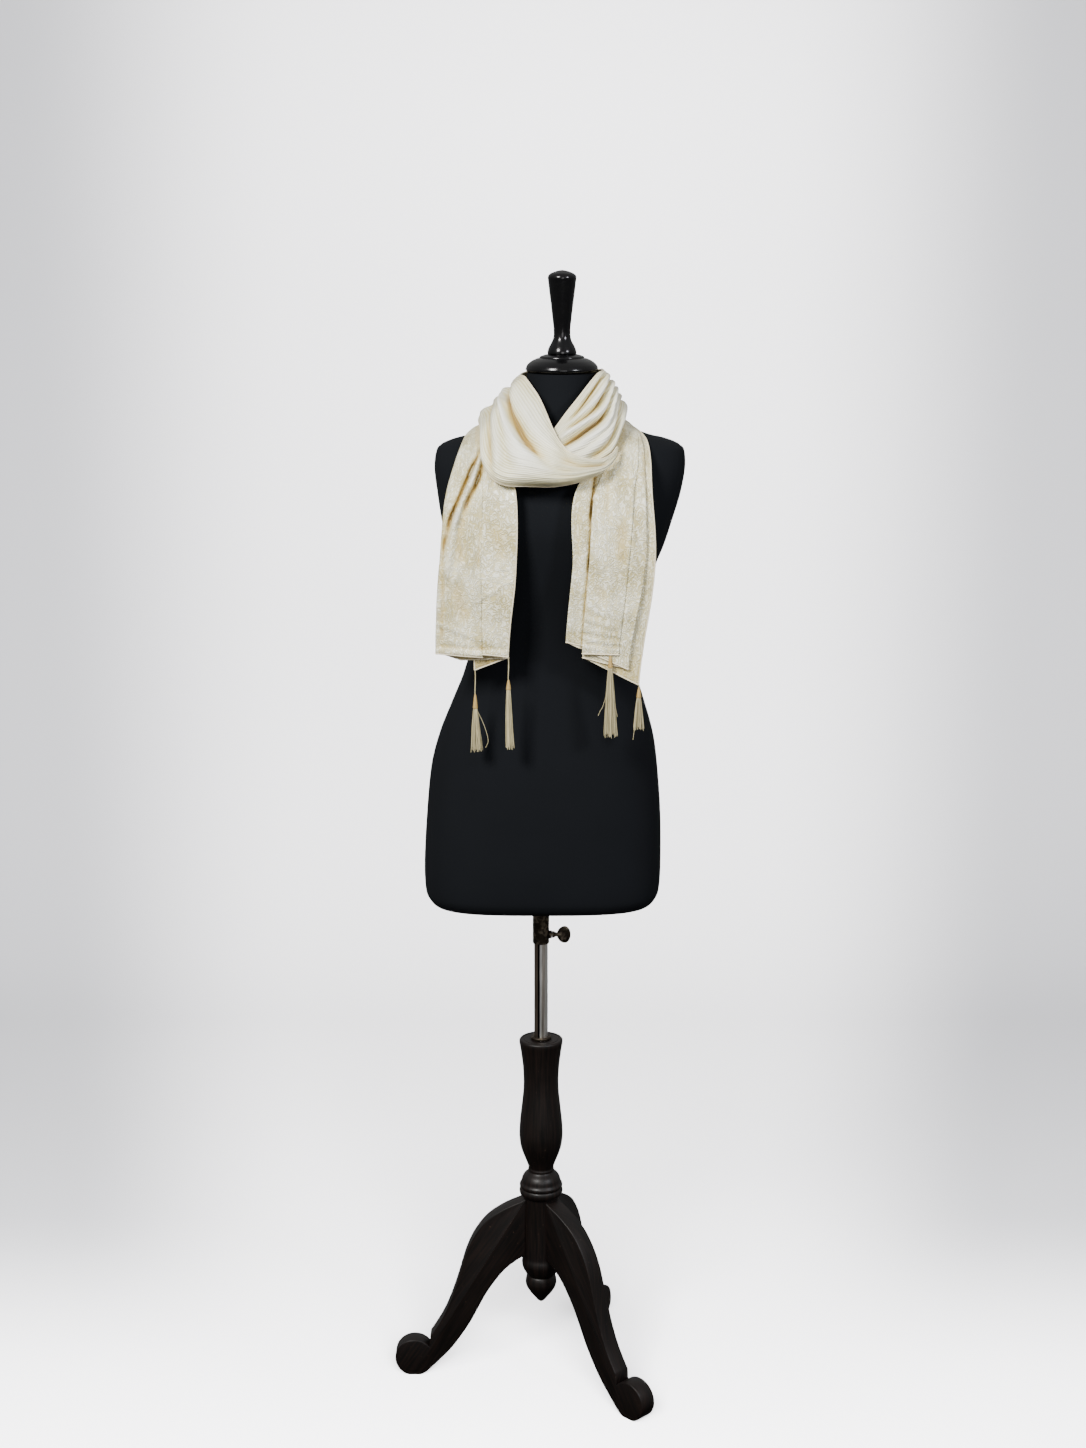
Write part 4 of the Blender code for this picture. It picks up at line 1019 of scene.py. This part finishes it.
def end_point(folds, creases, layers, skin, step, row):
    """A point of a hanging end and how far its creases lift it, from a step across and a row up."""
    spot, layer, push = step
    index = min(int(spot), len(folds) - 2)
    blend_in = spot - index
    up = row / END_SUBROWS
    line = [a + (b - a) * blend_in for a, b in zip(folds[index], folds[index + 1])]
    if up < HANGING_ROWS:
        spread = up / HANGING_ROWS
        y = along([end_row[:1] for end_row in END_ROWS], up)[0]
        height = line[5] + (MIDDLE_HEIGHT - line[5]) * spread
        hug, spacing = 0.0, END_ROWS[0][4]
    else:
        y, height, spread, hug, spacing = along(END_ROWS[HANGING_ROWS:], up - HANGING_ROWS)
    x = along([(value,) for value in line[0:5]], spread)[0] + push * spacing
    hug = clamp(hug)
    base = Vector((x, y + END_BOW * (x - NECK_X) ** 2 * (1 - hug), height))
    pivot = Vector((x, 0, PIVOT_HEIGHT))
    inward = (pivot - base).normalized() if height > PIVOT_HEIGHT else Vector((0, 1, 0))
    if hug > 0:
        hit = skin.ray_cast(pivot - inward * OUTSIDE, inward)[0]
        base = base.lerp(hit - inward * (REST_GAP + layers * spacing), hug)
    free = 1.0 - hug
    crease = crease_lift(x, height, layer, creases) * (1.0 - 0.5 * hug)
    front = free * max(1.0 - layer * 0.35, 0.3)
    lift = crease + noise.noise(Vector((x / 26, height / 60, 2.2))) * 2.6 * free
    lift += noise.noise(Vector((x / 12, height / 24, 5.5))) * 1.1 * front
    lift += noise.noise(Vector((x / 6, height / 9, 8.8))) * 0.35 * front
    sway = noise.noise(Vector((layer * 1.7, height / 60, 4.4))) * 1.1 * free
    return base + inward * (layer * spacing - lift) + Vector((sway, 0, 0)), crease


def make_end(side, folds, creases, skin, material, hem_material):
    """A hanging end with its rolled hem, and the two corner points its tassels hang from."""
    path = end_path(folds)
    layers = max(fold[7] for fold in folds)
    rows = (len(END_ROWS) - 1) * END_SUBROWS
    last = len(path) - 1
    spots = [
        [end_point(folds, creases, layers, skin, step, row) for row in range(rows + 1)] for step in path]
    reach = [0.0]
    for before, after in zip(spots, spots[1:]):
        gap = after[0][0] - before[0][0]
        reach.append(reach[-1] + Vector((gap.x, gap.y)).length)

    def spot(column, row):
        return spots[column][row][0]

    def weave(column, row):
        return (reach[column] * MM, row / rows * END_CLOTH)

    # painted light and shade: gold shade on deeper layers, most near the hem, a painted shadow just below
    # the wrap, shade in crease hollows and white highlight on crease ridges
    def painted_shade_and_highlight(column, row):
        point, crease = spots[column][row]
        deep = clamp((path[column][1] - 1.6) / 1.6)
        low = clamp(1.0 - row / (1.6 * END_SUBROWS))
        below_cowl = float(np.interp(point.x, *zip(*COWL_EDGE))) - point.z
        # painted shade on the deeper layers and near the hem, and painted shadow just below the wrap
        painted_shade = max(0.75 * deep * low, 0.22 * deep, 0.4 * clamp(1.0 - below_cowl / COWL_SHADE))
        if painted_shade > crease > 0:
            return painted_shade
        return min(max(painted_shade - crease * PAINTED_LIGHT_AND_SHADE_PER_MM, -crease * PAINTED_HIGHLIGHT_PER_MM, -1.0), 1.0)

    name = "stole_" + side + "_end"
    piece = cloth_piece(name + "_silk", last, rows, spot, weave, painted_shade_and_highlight, material, [name])
    hem = [spot(column, 0) for column in range(last + 1)]
    sides = [[spot(column, row) for row in range(0, rows + 1, 4)] for column in (0, last)]
    hems = make_cord(name + "_hems", [hem] + sides, HEM_RADIUS, hem_material)
    return {0: spot(0, 0), -1: spot(last, 0)}


def head_profile(head_bottom, head_top):
    """A tassel's head from its foot up: radius and height, drawn in at the foot, with a thread's turns."""
    head = head_top - head_bottom
    turns = round(head / WRAPPING_PITCH)
    profile = [(0.0, head_bottom)]
    for step in range(turns * 4 + 1):
        share = step / (turns * 4)
        cone = HEAD_RADIUS * (1 - share) ** 0.7 + THREAD_RADIUS * share
        cone *= 1 - 0.35 * math.exp(-(share / 0.06) ** 2)
        profile.append((cone + 0.16 * abs(math.sin(math.pi * share * turns)), head_bottom + head * share))
    return profile + [(0.0, head_top + 0.3)]


def make_tassel(name, corner, silk_thread, gold_thread):
    """A thread, a head wrapped turn by turn, a skirt of fine strands and a stray one or two."""
    _, _, thread, head, skirt_bottom, half_width, bend = TASSELS[name]
    chance = random.Random(name)
    corner = corner + Vector((THREAD_RADIUS, 0, -0.3))
    head_top = corner.z - thread
    head_bottom = head_top - head
    shares = [step / 12 for step in range(13)]
    cord = [corner + Vector((math.sin(t * 5) * 0.3, 0, -t * (thread + 1))) for t in shares]
    make_cord(name + "_thread", [cord], THREAD_RADIUS, silk_thread, resolution=2)
    spots = [(corner.x + radius, corner.y, height) for radius, height in head_profile(head_bottom, head_top)]
    bm = spun(spots, corner, (0, 0, 1), HEAD_SIDES)
    finish_piece(name + "_head", bm, gold_thread, "form", sharp=60)
    paths = []
    for _ in range(STRANDS):
        angle = chance.uniform(0, math.tau)
        out = math.sqrt(chance.uniform(0, 1))
        length = head_bottom - skirt_bottom + chance.uniform(*RAGGED)
        wave = chance.uniform(-1, 1)
        path = []
        for step in range(11):
            t = step / 10
            spread = HEAD_RADIUS * 0.75 * out * (1 - t) + half_width * out * t ** 0.9
            swing = bend * t ** 2 + wave * math.sin(t * 6 + angle) * 0.5 * t
            path.append((corner.x + math.cos(angle) * spread + swing,
                         corner.y + math.sin(angle) * spread, head_bottom + 1 - (length + 1) * t))
        paths.append(path)
    foot = Vector((corner.x, corner.y, head_bottom))
    paths += [[foot + Vector(spot) for spot in smoothed(stray, 6)] for stray in STRAY_THREADS[name]]
    skirt = make_cord(name + "_skirt", paths, STRAND_RADIUS, silk_thread, resolution=0)
    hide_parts(name)


def paper_material():
    """Pale paper with painted shade: darker at both sides of its far part, as the light there falls off.
    From behind it is clear, so that the object shows from every side."""
    material, tree = new_material("studio_paper")
    where = add(tree, "TexCoord", "Object")
    across = add(tree, "SeparateXYZ", "X", {"Vector": where})
    depth = add(tree, "SeparateXYZ", "Y", {"Vector": where})
    aside = add(tree, "Math", "Value", {0: across}, operation="ABSOLUTE")
    from_camera = add(tree, "Math", "Value", {0: depth, 1: 3.3}, operation="ADD")
    fan = add(tree, "Math", "Value", {0: aside, 1: from_camera}, operation="DIVIDE")
    edge = add(tree, "MapRange", "Result", {
        "Value": fan, "From Min": 0.10, "From Max": 0.22}, interpolation_type="SMOOTHSTEP")
    far = add(tree, "MapRange", "Result", {
        "Value": depth, "From Min": -0.1, "From Max": 0.6}, interpolation_type="SMOOTHSTEP")
    # painted shade: the far paper darker towards both sides
    painted_falloff = add(tree, "Math", "Value", {0: edge, 1: far}, operation="MULTIPLY")
    colour = add(tree, "Mix", 2, {0: painted_falloff, 6: "#ecebee", 7: "#a4a4a8"}, data_type="RGBA")
    dress(material, Base_Color=colour, Roughness=0.9)
    behind = add(tree, "NewGeometry", "Backfacing")
    clear = add(tree, "BsdfTransparent", "BSDF")
    paper = tree.nodes["Principled BSDF"].outputs["BSDF"]
    either = add(tree, "MixShader", "Shader", {0: behind, 1: paper, 2: clear})
    tree.links.new(either, tree.nodes["Material Output"].inputs["Surface"])
    return material


def make_paper():
    """A pale floor that sweeps up into a backdrop."""
    half, front, back, sweep, top = PAPER
    line = [(front, 0.0), (back - sweep, 0.0)]
    for step in range(1, 16):
        angle = math.pi / 2 * step / 16
        line.append((back - sweep + sweep * math.sin(angle), sweep - sweep * math.cos(angle)))
    line += [(back, sweep), (back, top)]
    bm = bmesh.new()
    verts = [bm.verts.new((-half, y, z)) for y, z in line]
    edges = [bm.edges.new(pair) for pair in zip(verts, verts[1:])]
    grown = bmesh.ops.extrude_edge_only(bm, edges=edges)["geom"]
    moved = [item for item in grown if isinstance(item, bmesh.types.BMVert)]
    bmesh.ops.translate(bm, vec=(2 * half, 0, 0), verts=moved)
    bmesh.ops.recalc_face_normals(bm, faces=bm.faces)
    if sum(face.normal.z for face in bm.faces) < 0:
        bmesh.ops.reverse_faces(bm, faces=bm.faces)
    mesh = bpy.data.meshes.new("studio_sweep")
    bm.to_mesh(mesh)
    bm.free()
    mesh.materials.append(paper_material())
    mesh.shade_smooth()
    paper = bpy.data.objects.new("studio_sweep", mesh)
    bpy.context.scene.collection.objects.link(paper)
    # The dark room round the paper, not the paper, is what gloss and shade pick up.
    paper.visible_diffuse = False
    paper.visible_glossy = False
    return paper


def make_studio():
    """The paper, the air round it, soft lamps and the camera."""
    on_paper = bpy.data.collections.new("lit_by_paper_lamps")
    on_paper.objects.link(make_paper())
    world = bpy.data.worlds.new("studio_air")
    bpy.context.scene.world = world
    world.use_nodes = True
    air = world.node_tree
    direction = add(air, "TexCoord", "Generated")
    upward = add(air, "SeparateXYZ", "Z", {"Vector": direction})
    height = add(air, "MapRange", "Result", {"Value": upward, "From Min": -0.6, "From Max": 0.8})
    tone = add(air, "Mix", 2, {0: height, 6: "#383634", 7: "#f0f0f0"}, data_type="RGBA")
    fill(air, air.nodes["Background"], {"Color": tone, "Strength": 0.65})
    for name, spot, size, power, colour, target, paper_alone in LAMPS:
        data = bpy.data.lights.new(name, "AREA")
        data.size = size
        data.energy = power
        data.color = linear(colour)[:3]
        lamp = bpy.data.objects.new(name, data)
        lamp.location = spot
        lamp.rotation_euler = (Vector(target) - Vector(spot)).to_track_quat("-Z", "Y").to_euler()
        bpy.context.scene.collection.objects.link(lamp)
        if paper_alone:
            lamp.light_linking.receiver_collection = on_paper
    lens = bpy.data.cameras.new("camera")
    lens.sensor_fit = "VERTICAL"
    lens.sensor_height = SENSOR_HEIGHT
    lens.lens = CAMERA_LENS
    camera = bpy.data.objects.new("camera", lens)
    camera.location = place(CAMERA_PLACE)
    camera.rotation_euler = (math.radians(90 - CAMERA_TILT), 0, 0)
    bpy.context.scene.collection.objects.link(camera)
    bpy.context.scene.camera = camera


def main():
    make_studio()
    crinkled = silk_material("crinkled_silk_satin", "crinkled")
    ribbed = silk_material("ribbed_silk_satin", "ribbed")
    rolled = thread_material("rolled_silk_hem", "#fbf3de", "#e2cf9f", 0.4)
    # its dark tone is painted shade, standing for the gaps between strands
    strand_silk = thread_material("twisted_silk_thread", "#e9deb4", "#8a7c4c", 0.42)
    wrapped_gold = thread_material("wrapped_silk_head", "#cfae66", "#8a6b34", 0.4)
    jersey = jersey_material()
    lacquer = lacquer_material()
    wood = wood_material()
    chrome = chrome_material()
    steel = blackened_material()

    turned("column", COLUMN_PROFILE, wood, "stand")
    turned("drop_finial", DROP_FINIAL_PROFILE, wood, "stand")
    turned("pole_ring", POLE_RING_PROFILE, steel, "stand", reach=0.8, ring=True)
    turned("pole", POLE_PROFILE, chrome, "pole", reach=0.3)
    turned("neck_cap", NECK_CAP_PROFILE, lacquer, "form", NECK_X)
    turned("finial", FINIAL_PROFILE, lacquer, "form", NECK_X)
    for name, direction in LEG_DIRECTIONS.items():
        make_leg(name, direction, wood)
    make_clamp(steel)
    skin = make_form(jersey)

    make_wrap(ribbed, rolled)
    corners = {
        "left": make_end("left", LEFT_END_FOLDS, LEFT_END_CREASES, skin, crinkled, rolled),
        "right": make_end("right", RIGHT_END_FOLDS, RIGHT_END_CREASES, skin, crinkled, rolled),
    }
    for name, row in TASSELS.items():
        make_tassel(name, corners[row[0]][row[1]], strand_silk, wrapped_gold)


main()
